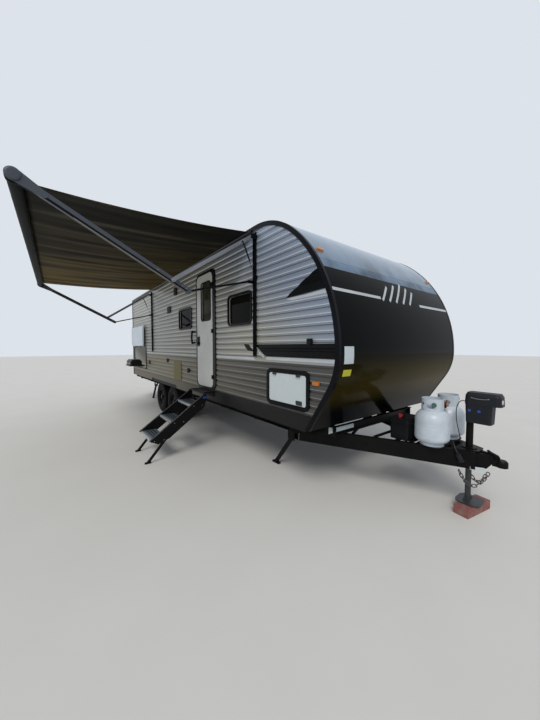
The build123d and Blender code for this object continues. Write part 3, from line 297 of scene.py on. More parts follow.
def ribbedAluminium():
    # painted ribbed aluminium: satin, silver-taupe above, darker taupe below, with a black skirt
    material, tree, place = newMaterial("paintedRibbedAluminium", 0.34, 0.25, Specular_IOR_Level=0.35)
    parts = addNode(tree, "SeparateXYZ", Vector=place).node.outputs
    x, height = parts["X"], parts["Z"]
    drift = addNode(tree, "TexNoise", out="Fac", Vector=place, Scale=perMetre(900), Detail=3.0)
    peel = addNode(tree, "TexNoise", out="Fac", Vector=place, Scale=perMetre(6), Detail=2.0)
    # painted sky reflection: a cool blue tone sets in towards the nose, and sooner high up; the warm tone at the rear
    # is a painted reflection of the sunlit ground
    slant = addNode(tree, "Math", "MULTIPLY_ADD", i0=height, i1=1.3, i2=-2.1)
    slant = addNode(tree, "Math", "ADD", i0=slant, i1=x)
    ahead = addNode(tree, "MapRange", smooth, Value=slant, i1=-1.9, i2=-0.2)
    # the painted reflections of the sunlit ground on the lower siding and on the skirt fade out towards the front
    along = addNode(tree, "MapRange", Value=x, i1=-5.5, i2=-1.6)
    skirtGroundReflection = addNode(tree, "MapRange", Value=x, i1=-4.6, i2=-2.9)
    below = addNode(tree, "Math", "LESS_THAN", i0=height, i1=ribs["twoTone"])
    skirt = addNode(tree, "Math", "LESS_THAN", i0=height, i1=ribs["skirtTop"])
    # place within one rib, 0 to 1 from the bottom of its groove: painted shade lies in the groove, a painted highlight
    # along the lower edge of the face, and painted shade on its top slope
    rib = addNode(tree, "Math", "SUBTRACT", i0=height, i1=ribs["low"])
    rib = addNode(tree, "Math", "DIVIDE", i0=rib, i1=ribs["pitch"])
    rib = addNode(tree, "Math", "FRACT", i0=rib)
    dirtFilmAndGrooveShade = addNode(tree, "MapRange", smooth, Value=rib, i1=0.05, i2=0.20, i3=0.72, i4=0.0)
    paintedHighlightBand = addNode(tree, "MapRange", smooth, Value=rib, i1=0.36, i2=0.50, i3=0.75, i4=0.0)
    paintedTopSlopeShade = addNode(tree, "MapRange", smooth, Value=rib, i1=0.55, i2=0.97, i3=0.0, i4=0.28)
    face = addNode(tree, "Math", "GREATER_THAN", i0=rib, i1=0.31)
    paintedRibHighlight = addNode(tree, "Math", "MULTIPLY", i0=paintedHighlightBand, i1=face)
    # the paint's colour with a warm painted reflection of the ground, and with a cool painted reflection of the sky
    paintWithGroundReflection = coats(tree, "#a5a398", (drift, "#929085"))
    cool = coats(tree, "#939eaf", (drift, "#8390a6"))
    # lower siding: olive towards the rear as a painted reflection of the sunlit ground, dark grey at the front
    lower = coats(tree, "#817758", (along, "#4f4e4b"))
    # pale colour of the painted highlight, greyer below the two-tone line
    pale = coats(tree, "#e4eaf0", (below, "#a3a3a1"))
    # the black gloss skirt carries a tan painted reflection of the sunlit ground towards the rear, behind the steps
    black = coats(tree, "#544a34", (skirtGroundReflection, "#0d0c0c"))  # road dust on the skirt behind the steps
    colour = coats(tree, paintWithGroundReflection, (ahead, cool), (below, lower), (dirtFilmAndGrooveShade, "#232426"), (paintedRibHighlight, pale), (paintedTopSlopeShade, "#4d4f52"),
                   (skirt, black))
    # the embossed skin of the sheet, about 3 mm, drawn at 6 mm so that it shows
    return surfaced(material, colour, (peel, 0.0, 1.0, 0.30, 0.42), (peel, 0.12, 0.0005))


def paintedSkyReflection(tree, place, below):
    # painted sky reflection: a blue-grey fade over the top of the nose, broken by painted reflection blotches, ending
    # in a thin dark line at 2.30 m
    height = addNode(tree, "SeparateXYZ", out="Z", Vector=place)
    rise = addNode(tree, "MapRange", Value=height, i1=2.30, i2=2.90)
    reflectionMottle = addNode(tree, "TexNoise", out="Fac", Vector=place, Scale=perMetre(330), Detail=5.0, Roughness=0.6)
    broken = addNode(tree, "MapRange", Value=reflectionMottle, i1=0.38, i2=0.62)
    above = addNode(tree, "Math", "GREATER_THAN", i0=height, i1=2.306)
    line = addNode(tree, "Math", "COMPARE", i0=height, i1=2.302, i2=0.006)
    fade = coats(tree, "#445260", (broken, "#6b8098"), (rise, "#a1b3c8"))
    return coats(tree, below, (above, fade), (line, "#050505"))


def nosePaint():
    # gel-coated fibreglass: deep gloss, a faint waviness that bends its reflections, and a warm painted reflection of
    # the sunlit ground low down, stronger to the left
    material, tree, place = newMaterial("gelCoatedFibreglassBlack", 0.1, Specular_IOR_Level=0.035, IOR=1.5)
    parts = addNode(tree, "SeparateXYZ", Vector=place).node.outputs
    wave = addNode(tree, "TexNoise", out="Fac", Vector=place, Scale=perMetre(420), Detail=2.0)
    dust = addNode(tree, "TexNoise", out="Fac", Vector=place, Scale=perMetre(14), Detail=5.0, Roughness=0.7)
    dirtFilmAndGrooveShade = addNode(tree, "MapRange", Value=dust, i1=0.45, i2=0.75, i3=0.0, i4=0.06)
    # the band of painted ground reflection, between about 0.9 m and 1.6 m
    rising = addNode(tree, "MapRange", smooth, Value=parts["Z"], i1=0.90, i2=1.14)
    falling = addNode(tree, "MapRange", smooth, Value=parts["Z"], i1=1.18, i2=1.58, i3=0.8, i4=0.0)
    across = addNode(tree, "MapRange", Value=parts["Y"], i1=-1.1, i2=0.4, i3=0.5, i4=1.0)
    paintedGrassReflection = addNode(tree, "Math", "MULTIPLY", i0=rising, i1=falling)
    paintedGrassReflection = addNode(tree, "Math", "MULTIPLY", i0=paintedGrassReflection, i1=across)
    body = coats(tree, "#07090b", (dirtFilmAndGrooveShade, "#3a3833"), (paintedGrassReflection, "#4d4219"))
    return surfaced(material, paintedSkyReflection(tree, place, body), (dust, 0.3, 0.8, 0.07, 0.17), (wave, 0.25, 0.004))


def roofSkin():
    # rubber membrane on the flat roof, chalky white; the front curve has the nose's black gel coat with its painted sky
    # reflection
    material, tree, place = newMaterial("roofMembraneAndGelCoat", 0.6, IOR=1.5, Specular_IOR_Level=0.1)
    dirt = addNode(tree, "TexNoise", out="Fac", Vector=place, Scale=perMetre(500), Detail=6.0, Roughness=0.65)
    ahead = addNode(tree, "Math", "GREATER_THAN", i0=addNode(tree, "SeparateXYZ", out="X", Vector=place), i1=-1.93)
    colour = coats(tree, "#d4d3cd", (dirt, "#b4b2aa"), (ahead, paintedSkyReflection(tree, place, "#0b0c0e")))
    return surfaced(material, colour, (ahead, 0.0, 1.0, 0.75, 0.14), (dirt, 0.2, 0.001))


def tintedGlass(name, colour, roughness):
    # tempered privacy glass: near black, sharp reflections, a slight wave
    material, tree, place = newMaterial(name, roughness, IOR=1.52, Specular_IOR_Level=0.025)
    wave = addNode(tree, "TexNoise", out="Fac", Vector=place, Scale=perMetre(150), Detail=2.0)
    # the wave also darkens the tint in patches: a mottle of painted reflections
    return surfaced(material, coats(tree, colour, (wave, "#0b0c0e")), bump=(wave, 0.1, 0.001))


def stainedTimber():
    # a sawn softwood block stained red, with grain along its length and weathered end grain
    material, tree, place = newMaterial("redStainedTimber", 0.75)
    alongBlock = addNode(tree, "Mapping", Vector=place, Rotation=(0, 0, math.radians(-80)), Scale=(1.0, 6.0, 6.0))
    grain = addNode(tree, "TexNoise", out="Fac", Vector=alongBlock, Scale=perMetre(40), Detail=6.0, Roughness=0.7)
    wear = addNode(tree, "TexNoise", out="Fac", Vector=place, Scale=perMetre(60), Detail=4.0)
    worn = addNode(tree, "MapRange", Value=wear, i1=0.5, i2=0.7)
    colour = coats(tree, "#7d4340", (grain, "#94605a"), (worn, "#8b7268"))
    return surfaced(material, colour, bump=(grain, 0.5, 0.0015))


def lampPlastic():
    # moulded acrylic lenses: amber at the front and sides, red at the rear, with fine flutes that break the light up
    material, tree, place = newMaterial("mouldedAcrylicLens", 0.18, IOR=1.49, Transmission_Weight=0.15,
                                        Coat_Weight=0.6, Coat_Roughness=0.05)
    rear = addNode(tree, "Math", "LESS_THAN", i0=addNode(tree, "SeparateXYZ", out="X", Vector=place), i1=-8.6)
    flutes = addNode(tree, "TexWave", {"bands_direction": "Z"}, "Fac", Vector=place, Scale=perMetre(9) / math.pi)
    return surfaced(material, coats(tree, "#c8701a", (rear, "#9c1414")), bump=(flutes, 0.5, 0.001))


def hatchSkin():
    # enamelled hatch skin, cool white and smooth; its hinge knuckles and latch are black nylon
    material, tree, place = newMaterial("enamelledHatchSkin", 0.3)
    parts = addNode(tree, "SeparateXYZ", Vector=place).node.outputs
    drift = addNode(tree, "TexNoise", out="Fac", Vector=place, Scale=perMetre(240), Detail=4.0)
    streak = addNode(tree, "Mapping", Vector=place, Scale=(5.0, 5.0, 0.6))
    runs = addNode(tree, "TexNoise", out="Fac", Vector=streak, Scale=perMetre(110), Detail=5.0)
    dirtFilmAndGrooveShade = addNode(tree, "MapRange", Value=runs, i1=0.52, i2=0.78, i3=0.0, i4=0.08)
    reach = addNode(tree, "Math", "ABSOLUTE", i0=parts["Y"])
    proud = addNode(tree, "Math", "GREATER_THAN", i0=reach, i1=1.2355)
    high = addNode(tree, "Math", "GREATER_THAN", i0=parts["Z"], i1=1.25)
    low = addNode(tree, "Math", "LESS_THAN", i0=parts["Z"], i1=1.06)
    ends = addNode(tree, "Math", "MAXIMUM", i0=high, i1=low)
    black = addNode(tree, "Math", "MULTIPLY", i0=proud, i1=ends)
    colour = coats(tree, "#ccd5d8", (drift, "#c0cacd"), (dirtFilmAndGrooveShade, "#9d9c94"), (black, "#1a1b1d"))
    return surfaced(material, colour, bump=(drift, 0.06, 0.001))


# brushed chassis paint: soft black, with road dust in flecks
frameBlack = weathered("blackChassisPaint", "#0c0c0d", "#151413", 0.45, dust="#4b443a", grainMm=5, driftMm=400,
                       fleck=0.18)
# black anodised extrusions: a tight satin line of light along each edge
trimBlack = weathered("anodisedAluminiumBlack", "#0d0e12", "#14151a", 0.34, 0.3, fleck=0.1, bump=0.08)
# powder-coated extrusions: blue-grey with a soft grain
armGrey = weathered("powderCoatedAluminiumGrey", "#464b54", "#3e434b", 0.4, 0.35, grainMm=2.5, fleck=0.12, bump=0.1)
# satin anodised extrusions: paler and smoother than the arms
beamGrey = weathered("satinAnodisedAluminium", "#86868d", "#77777e", 0.38, 0.45, grainMm=2.5, fleck=0.1, bump=0.08)
# bright anodised nosings and knobs: the palest metal here
brightAlloy = weathered("brightAnodisedAluminium", "#c3c6c8", "#aeb1b3", 0.32, 0.6, grainMm=2, fleck=0.12, bump=0.08)
# turns of laminated vinyl on the roller: dull, near black
woundVinyl = weathered("woundAwningVinyl", "#0b0c0e", "#121315", 0.6, dust="#46402f", grainMm=9, driftMm=300,
                       fleck=0.12, bump=0.3, Specular_IOR_Level=0.1)
# moulded polypropylene: soft black with a fine mould grain
mouldedBlack = weathered("mouldedPolypropyleneBlack", "#0f1013", "#191a1c", 0.5, dust="#38362f", grainMm=2,
                         fleck=0.15)
# moulded ABS on the wall; the water heater's painted door among it has the colour of the lower siding
fittingPlastic = weathered("mouldedAbsBlack", "#101114", "#1b1c1e", 0.5, dust="#38362f", grainMm=2, fleck=0.12,
                           patch=(-4.615, 0.23, 1.10, 0.19, "#827a54"))
# laminated wall and door skins: satin off-white, painted black below the siding
wallPanel = weathered("laminatedDoorSkin", "#d3d3ce", "#c7c8c4", 0.3, grainMm=5, fleck=0.08, bump=0.05,
                      Coat_Weight=0.15, patch=(-4.0, 9.0, 0.40, 0.4985, "#131211"))
# enamelled kitchen door: a cooler, glossier white
kitchenPanel = weathered("enamelledKitchenSkin", "#c3cdd8", "#b6c0ca", 0.3, grainMm=5, driftMm=300, fleck=0.08,
                         bump=0.05)
# enamelled steel cylinders: glossy cool white, a little stained
cylinderWhite = weathered("enamelledSteelWhite", "#ccd6e0", "#bec8d2", 0.33, dust="#a9a595", grainMm=4, driftMm=120,
                          fleck=0.2, bump=0.1)
# textured ABS covers: slate, with a leathery mould grain
jackGrey = weathered("texturedAbsSlate", "#202329", "#1b1d22", 0.52, dust="#3d3e40", grainMm=1.6, fleck=0.2,
                     bump=0.35, Specular_IOR_Level=0.2)
# oiled griddle plate: dark steel with a soft sheen
steelGriddle = weathered("blackedGriddleSteel", "#1b1b1c", "#262525", 0.4, 0.4, grainMm=4)
# zinc-plated chain: dull grey with brown rust in flecks
zincSteel = weathered("zincPlatedSteel", "#6e6e6d", "#4d4a46", 0.45, 0.85, dust="#6b4f38", grainMm=5, fleck=0.3)
# punched tread plate: its 14 mm raised grip catches the light
treadPlate = weathered("punchedTreadAluminium", "#77838c", "#57626a", 0.45, 0.35, dust="#3c4146", grainMm=14,
                       fleck=0.55, bump=0.5, depth=0.002)
# weathered white ABS roof units: chalky
roofPlastic = weathered("weatheredAbsWhite", "#c9c9c4", "#b9b8b0", 0.5, grainMm=5, fleck=0.15)
# phosphated steel of the jack's foot: mid grey, soil on it
footGrey = weathered("phosphatedFootSteel", "#4a4d50", "#3a3b3c", 0.5, 0.5, dust="#716352", grainMm=6, fleck=0.3)
# gloss powder-coated rims: sharp highlights on the spokes, brake dust between
wheelBlack = weathered("glossPowderCoatBlack", "#0a0b0d", "#111214", 0.22, 0.2, dust="#4e483d", grainMm=5,
                       fleck=0.12, bump=0.06)
# vulcanised tyre rubber: matt black with grey-brown dust
tyreRubber = weathered("vulcanisedTyreRubber", "#0d0d0d", "#141313", 0.78, dust="#3f3a2d", grainMm=5, driftMm=90,
                       fleck=0.3, bump=0.3, Specular_IOR_Level=0.2)

finish(ribbedAluminium(), "siding")
finish(nosePaint(), "front_cap")
finish(wallPanel, "right_wall", "left_wall", "rear_wall", "entry_door", "kitchen_tub")
finish(hatchSkin(), "baggage_door_")
finish(kitchenPanel, "kitchen_door")
finish(trimBlack, "edge_trim", "opening_frames", "awning_channels", "awning_lower_arms", "awning_struts")
finish(tintedGlass("privacyGlassDark", "#14140d", 0.04), "window_glass")
finish(tintedGlass("privacyGlassGreen", "#474d37", 0.08), "door_glass")
finish(frameBlack, "main_rails", "cross_members", "a_frame", "frame_brackets", "coupler", "axles_and_springs",
       "jack_post", "cylinder_rack", "step_rails", "floor", "stabilizer_")
finish(footGrey, "jack_leg")
finish(jackGrey, "jack_head", "tow_plug")
finish(stainedTimber(), "jack_block")
finish(cylinderWhite, "gas_cylinders")
finish(mouldedBlack, "battery_box", "door_hardware", "gas_regulator")
finish(fittingPlastic, "wall_fittings")
finish(armGrey, "awning_arms")
finish(beamGrey, "awning_beams")
finish(woundVinyl, "awning_roller")
finish(treadPlate, "step_treads")
finish(lampPlastic(), "lamps")
finish(steelGriddle, "kitchen_griddle")
finish(roofSkin(), "roof")
finish(roofPlastic, "roof_units")
finish(zincSteel, "safety_chains")
finish(wheelBlack, "rim_")
finish(tyreRubber, "tyre_")
print("CAD parts finished")

tread = {"pitches": 60, "sipeDepth": 0.0063, "midY": 1.037, "midZ": 0.36, "widthShare": 0.998}
tyreSpots = {"tyre_front_right": (-5.19, -1), "tyre_rear_right": (-6.05, -1),
             "tyre_front_left": (-5.19, 1), "tyre_rear_left": (-6.05, 1)}
# half of its section from bead to crown: distance from the middle, radius, and 1 where sipes cut, 2 in a groove
tyreHalf = ((0.084, 0.1925, 0), (0.1005, 0.212, 0), (0.1095, 0.243, 0), (0.1118, 0.268, 0), (0.1105, 0.290, 0),
            (0.1085, 0.292, 0), (0.1068, 0.310, 0), (0.1035, 0.326, 0), (0.0990, 0.338, 1), (0.0940, 0.3480, 1),
            (0.0830, 0.3545, 1), (0.0660, 0.3560, 1), (0.0640, 0.3475, 2), (0.0540, 0.3475, 2), (0.0520, 0.3573, 1),
            (0.0260, 0.3590, 1), (0.0240, 0.3500, 2), (0.0150, 0.3500, 2), (0.0130, 0.3596, 1))


def addTyre(nodeName):
    x, side = tyreSpots[nodeName]
    profile = [(-across, radius, kind) for across, radius, kind in tyreHalf] + list(reversed(tyreHalf))
    steps = tread["pitches"] * 4
    points = []
    for step in range(steps):
        phase = step % 4
        angle = 2 * math.pi * (step + {0: 0.35, 3: -0.35}.get(phase, 0)) / steps
        for across, radius, kind in profile:
            # each rib is cut at its own turn
            if kind == 1 and phase == (0 if abs(across) > 0.045 else 2):
                radius -= tread["sipeDepth"]
            points.append((x + radius * math.cos(angle), side * tread["midY"] + across * tread["widthShare"],
                           tread["midZ"] + radius * math.sin(angle)))
    tyre = meshPiece(nodeName + "_tread", points, gridFaces(steps, len(profile), True), tyreRubber,
                     nodeName.replace("tyre", "wheel"), True)
    outward(tyre)
    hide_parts(nodeName)


for nodeName in tyreSpots:
    addTyre(nodeName)
print("tyres built")

awning = {"rear": -6.29, "front": -1.96, "wall": (-1.2565, 2.962), "roll": (-3.3135, 2.8425), "sag": 0.044,
          "ripple": 0.0045, "thick": 0.0012}


def awningVinyl():
    # laminated vinyl: underside painted brown for the sun shining through it, painted darker towards the front, with
    # painted shade and highlights in streaks along its folds; plain charcoal on top
    material, tree, place = newMaterial("laminatedAwningVinyl", 0.62, Specular_IOR_Level=0.06)
    # the base cloth's threads, under 1 mm apart, drawn at 16 mm so that they show
    threads = [addNode(tree, "TexWave", {"bands_direction": way}, "Fac", Vector=place, Scale=perMetre(16) / math.pi)
               for way in "XY"]
    weave = addNode(tree, "Math", "MULTIPLY", i0=threads[0], i1=threads[1])
    drift = addNode(tree, "TexNoise", out="Fac", Vector=place, Scale=perMetre(900), Detail=4.0)
    stretched = addNode(tree, "Mapping", Vector=place, Scale=(1.0, 0.07, 1.0))
    streak = addNode(tree, "TexNoise", out="Fac", Vector=stretched, Scale=perMetre(170), Detail=5.0)
    along = addNode(tree, "SeparateXYZ", out="X", Vector=place)
    # painted shade: the underside darkens towards the front
    ahead = addNode(tree, "MapRange", Value=along, i1=-6.3, i2=-2.6)
    paintedFoldShade = addNode(tree, "MapRange", Value=streak, i1=0.48, i2=0.6, i3=0.0, i4=0.75)
    paintedFoldHighlight = addNode(tree, "MapRange", Value=streak, i1=0.36, i2=0.44, i3=0.45, i4=0.0)
    facing = addNode(tree, "NewGeometry", out="True Normal")
    upper = addNode(tree, "Math", "GREATER_THAN", i0=addNode(tree, "SeparateXYZ", out="Z", Vector=facing), i1=0.0)
    cool = coats(tree, "#2e2c24", (drift, "#21201b"))
    charcoal = coats(tree, "#303133", (drift, "#262729"))
    colour = coats(tree, "#7c662b", (drift, "#564825"), (ahead, cool), (paintedFoldShade, "#151413"), (paintedFoldHighlight, "#5b5443"),
                   (upper, charcoal))
    return surfaced(material, colour, bump=(weave, 0.3, 0.0006))


def addAwningCloth():
    columns, rows = 220, 50
    points = []
    wallY, wallZ = awning["wall"]
    rollY, rollZ = awning["roll"]
    for row in range(rows + 1):
        v = row / rows
        for column in range(columns + 1):
            u = column / columns
            x = awning["rear"] + (awning["front"] - awning["rear"]) * u
            y = wallY + (rollY - wallY) * v
            hang = 4 * v * (1 - v)
            edge = 1 - abs(2 * u - 1) ** 6
            z = wallZ + (rollZ - wallZ) * v - awning["sag"] * hang * (0.8 + 0.2 * edge)
            # slack waves that run from the wall to the roller, stronger near the roller, fanning out a little
            wave = math.sin(u * 74 + 1.6 * math.sin(u * 9 + v * 1.3) + 0.9 * v)
            wave += 0.6 * math.sin(u * 131 + 2.1 * math.sin(u * 6.1 + 2) - 1.4 * v)
            z += awning["ripple"] * wave * min(1, 6 * v * (1 - v)) * (0.45 + 0.55 * v)
            points.append((x, y, z))
    cloth = meshPiece("awningCloth", points, gridFaces(rows + 1, columns + 1), awningVinyl(), "caravan", True)
    thick = cloth.modifiers.new("cloth", "SOLIDIFY")
    thick.thickness = awning["thick"]
    thick.offset = 0
    bpy.context.view_layer.update()
    solid = bpy.data.meshes.new_from_object(cloth.evaluated_get(bpy.context.evaluated_depsgraph_get()))
    cloth.modifiers.clear()
    cloth.data = solid
    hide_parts("awning_fabric")
    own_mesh(cloth)


addAwningCloth()
print("awning cloth hung")


def ringFaces(rings, count):
    # quads between closed rings of points laid one after another
    return [(row + i, row + (i + 1) % count, row + count + (i + 1) % count, row + count + i)
            for row in range(0, (rings - 1) * count, count) for i in range(count)]


def capped(near, far):
    # two like rings of points with faces between them and over their ends
    count = len(near)
    return near + far, ringFaces(2, count) + [tuple(range(count)), tuple(range(2 * count - 1, count - 1, -1))]


def bar(start, end, across, width, thick):
    # a bar with chamfered edges; across is the direction of its width
    start, end = Vector(start), Vector(end)
    run = (end - start).normalized()
    wide = (Vector(across) - run * run.dot(Vector(across))).normalized()
    deep = run.cross(wide)
    cut = min(width, thick) * 0.25
    outline = [(width / 2 - cut, thick / 2), (width / 2, thick / 2 - cut)]
    outline += [(w, -d) for w, d in reversed(outline)]
    outline += [(-w, -d) for w, d in outline]
    return capped(*([place + wide * w + deep * d for w, d in outline] for place in (start, end)))


def screwHead(place, axis, radius):
    # a low domed head with a recess in its middle
    r = radius
    return turned([(0, r), (0.25 * r, r), (0.5 * r, 0.82 * r), (0.62 * r, 0.5 * r), (0.64 * r, 0.3 * r),
                   (0.4 * r, 0.2 * r), (0.4 * r, 0.0)], place, axis, 12)


def onDrum(centre, radius, turn, half, low, high, corner):
    # a patch with cut corners that hugs an upright drum; turn and half are in degrees
    points, rows, columns = [], 7, 9
    for row in range(rows):
        z = low + (high - low) * row / (rows - 1)
        near = min(z - low, high - z)
        trim = 0 if near >= corner else (corner - math.sqrt(max(0.0, corner ** 2 - (corner - near) ** 2))) / radius
        for column in range(columns):
            angle = math.radians(turn) + (math.radians(half) - trim) * (column / 4 - 1)
            points.append((centre[0] + radius * math.cos(angle), centre[1] + radius * math.sin(angle), z))
    return points, gridFaces(rows, columns)


def downFrom(run):
    # the direction square to a run in the (y, z) plane that points down
    square = Vector((-run.y, run.x))
    return -square if square.y > 0 else square


# zinc-plated screws: small bright points
galvanisedScrew = weathered("zincPlatedScrew", "#a9aaa8", "#8d8b85", 0.35, 0.9, grainMm=2, fleck=0.2)
# painted highlight: a thin pale line along the lower edge of each arm's black coat, where the sun catches it
paintedEdgeHighlight = weathered("paintedChannelEdgeHighlight", "#a39a86", "#857d6c", 0.4, 0.5, grainMm=4, fleck=0.3)
armLine = {"elbow": (-2.050, 2.143), "roller": (-3.35804, 2.82682), "planes": (-1.860, -6.380), "half": 0.016,
           "bolts": (0.030, 0.075, 0.34, 1.30), "beamPin": (-1.290, 2.860), "beamEnd": (-2.2104, 2.22686),
           "beamBolts": (0.16, 1.117), "strutFoot": (-1.264, 2.415), "castingRadii": (0.050, 0.0265)}


def addArmDetails():
    elbow, roller = Vector(armLine["elbow"]), Vector(armLine["roller"])
    run = (roller - elbow).normalized()
    under = downFrom(run)
    shade, highlightLines, bolts, caps = [], [], [], []
    for plane, out in zip(armLine["planes"], (1, -1)):
        for face in (1, -1):
            x = plane + face * (armLine["half"] + 0.0006)
            # along the lower part of each arm face: a dark band of painted shade, and below it a thin pale line of
            # painted highlight
            for store, drop, wide, thick, short in ((shade, 0.016, 0.019, 0.0012, 0.03),
                                                    (highlightLines, 0.0268, 0.0028, 0.003, 0.42)):
                a, b = elbow + run * 0.012 + under * drop, roller - run * short + under * drop
                store.append(bar((x, a.x, a.y), (x, b.x, b.y), (0, under.x, under.y), wide, thick))
            for reach in armLine["bolts"]:
                spot = elbow + run * reach - under * 0.008
                sunk = plane + face * (armLine["half"] - 0.0028)
                bolts.append(screwHead((sunk, spot.x, spot.y), (face, 0, 0), 0.006))
        # moulded cap over the end of the roller, domed, on the outer face of the arm
        x = plane + out * armLine["half"]
        caps.append(turned([(0, 0.050), (0.006, 0.0495), (0.011, 0.045), (0.014, 0.034), (0.015, 0.0)],
                           (x, roller.x, roller.y), (out, 0, 0), 40))
    addPiece("armShadeBands", shade, trimBlack, "awning_arms")
    addPiece("armEdgeHighlights", highlightLines, paintedEdgeHighlight, "awning_arms")
    addPiece("armBolts", bolts, galvanisedScrew, "awning_arms")
    addPiece("rollerCaps", caps, armGrey, "awning_arms")
    pin, end = Vector(armLine["beamPin"]), Vector(armLine["beamEnd"])
    run = (end - pin).normalized()
    under = downFrom(run)
    edges, bolts = [], []
    for plane, out in zip(armLine["planes"], (1, -1)):
        # a thin black line along the lower edge of each beam's outer face: painted shade
        x = plane + out * 0.0383
        a, b = pin + run * 0.02 + under * 0.0195, end - run * 0.02 + under * 0.0195
        edges.append(bar((x, a.x, a.y), (x, b.x, b.y), (0, under.x, under.y), 0.003, 0.0008))
        for reach in armLine["beamBolts"]:
            spot = pin + run * reach
            bolts.append(screwHead((plane + out * 0.038, spot.x, spot.y), (out, 0, 0), 0.0065))
    addPiece("beamEdgeShades", edges, trimBlack, "awning_beams")
    addPiece("beamBolts", bolts, galvanisedScrew, "awning_beams")


addArmDetails()


def addRollerCloth():
    # the turns of cloth left on the roller, with a step where the last one leaves it, and seams pressing through
    centre, turns, stations = Vector(armLine["roller"]), 72, 60
    points = []
    for station in range(stations + 1):
        x = awning["rear"] + (awning["front"] - awning["rear"]) * station / stations
        for step in range(turns):
            angle = math.radians(20) + 2 * math.pi * step / turns
            swell = 0.0453 + 0.0011 * step / turns + 0.00035 * math.sin(station * 2.1 + 3 * angle)
            points.append((x, centre.x + swell * math.cos(angle), centre.y + swell * math.sin(angle)))
    outward(meshPiece("rollerCloth", points, ringFaces(stations + 1, turns), woundVinyl, "awning_arms", True))


def taperedEnd(centre, toward, radii, reach, low, high):
    # a thin casting round two circles, the hull of both, with a bevelled outer edge
    work = bmesh.new()
    for x, trim in ((low, 0.0), (high - (high - low) * 0.4, 0.0), (high, 0.0012)):
        for spot, radius in ((centre, radii[0]), (centre + toward * reach, radii[1])):
            r = radius - trim
            for step in range(32):
                angle = 2 * math.pi * step / 32
                work.verts.new((x, spot.x + r * math.cos(angle), spot.y + r * math.sin(angle)))
    bmesh.ops.convex_hull(work, input=work.verts)
    loose = [v for v in work.verts if not v.link_faces]
    bmesh.ops.delete(work, geom=loose, context="VERTS")
    work.verts.index_update()
    points = [v.co.copy() for v in work.verts]
    faces = [tuple(v.index for v in face.verts) for face in work.faces]
    work.free()
    return points, faces


def addStrutBodies():
    foot = Vector(armLine["strutFoot"])
    pin, end = Vector(armLine["beamPin"]), Vector(armLine["beamEnd"])
    head = pin + (end - pin).normalized() * 0.160
    run = head - foot
    castings, bodies = [], []
    elbow, roller = Vector(armLine["elbow"]), Vector(armLine["roller"])
    down = (elbow - roller).normalized()
    for plane, out in zip(armLine["planes"], (1, -1)):
        x = plane + out * 0.0487
        start = foot + run * 0.43
        length = run.length * 0.53
        bodies.append(turned([(0, 0.0), (0, 0.006), (0.003, 0.0085), (length - 0.012, 0.0085), (length - 0.006, 0.007),
                              (length, 0.007), (length, 0.0)], (x, start.x, start.y), (0, run.x, run.y), 24))
        for face in (1, -1):
            low = plane + face * (armLine["half"] + 0.0013)
            castings.append(taperedEnd(roller, down, armLine["castingRadii"], 0.20, low, low + face * 0.0006))
    addPiece("strutBodies", bodies, trimBlack, "awning_struts")
    addPiece("armEndCastings", castings, armGrey, "awning_arms")


addRollerCloth()
addStrutBodies()

# blue moulded nylon: small saturated spots
blueNylon = weathered("mouldedNylonBlue", "#1d4fa3", "#1a4590", 0.4, fleck=0.15)
steps = {"fronts": ((-1.595, 0.716), (-1.882, 0.511), (-2.158, 0.303)), "near": -2.993, "far": -3.537,
         "pivot": (-1.400, 0.850), "fall": 35.6, "badge": (-2.9745, -1.385, 0.812)}


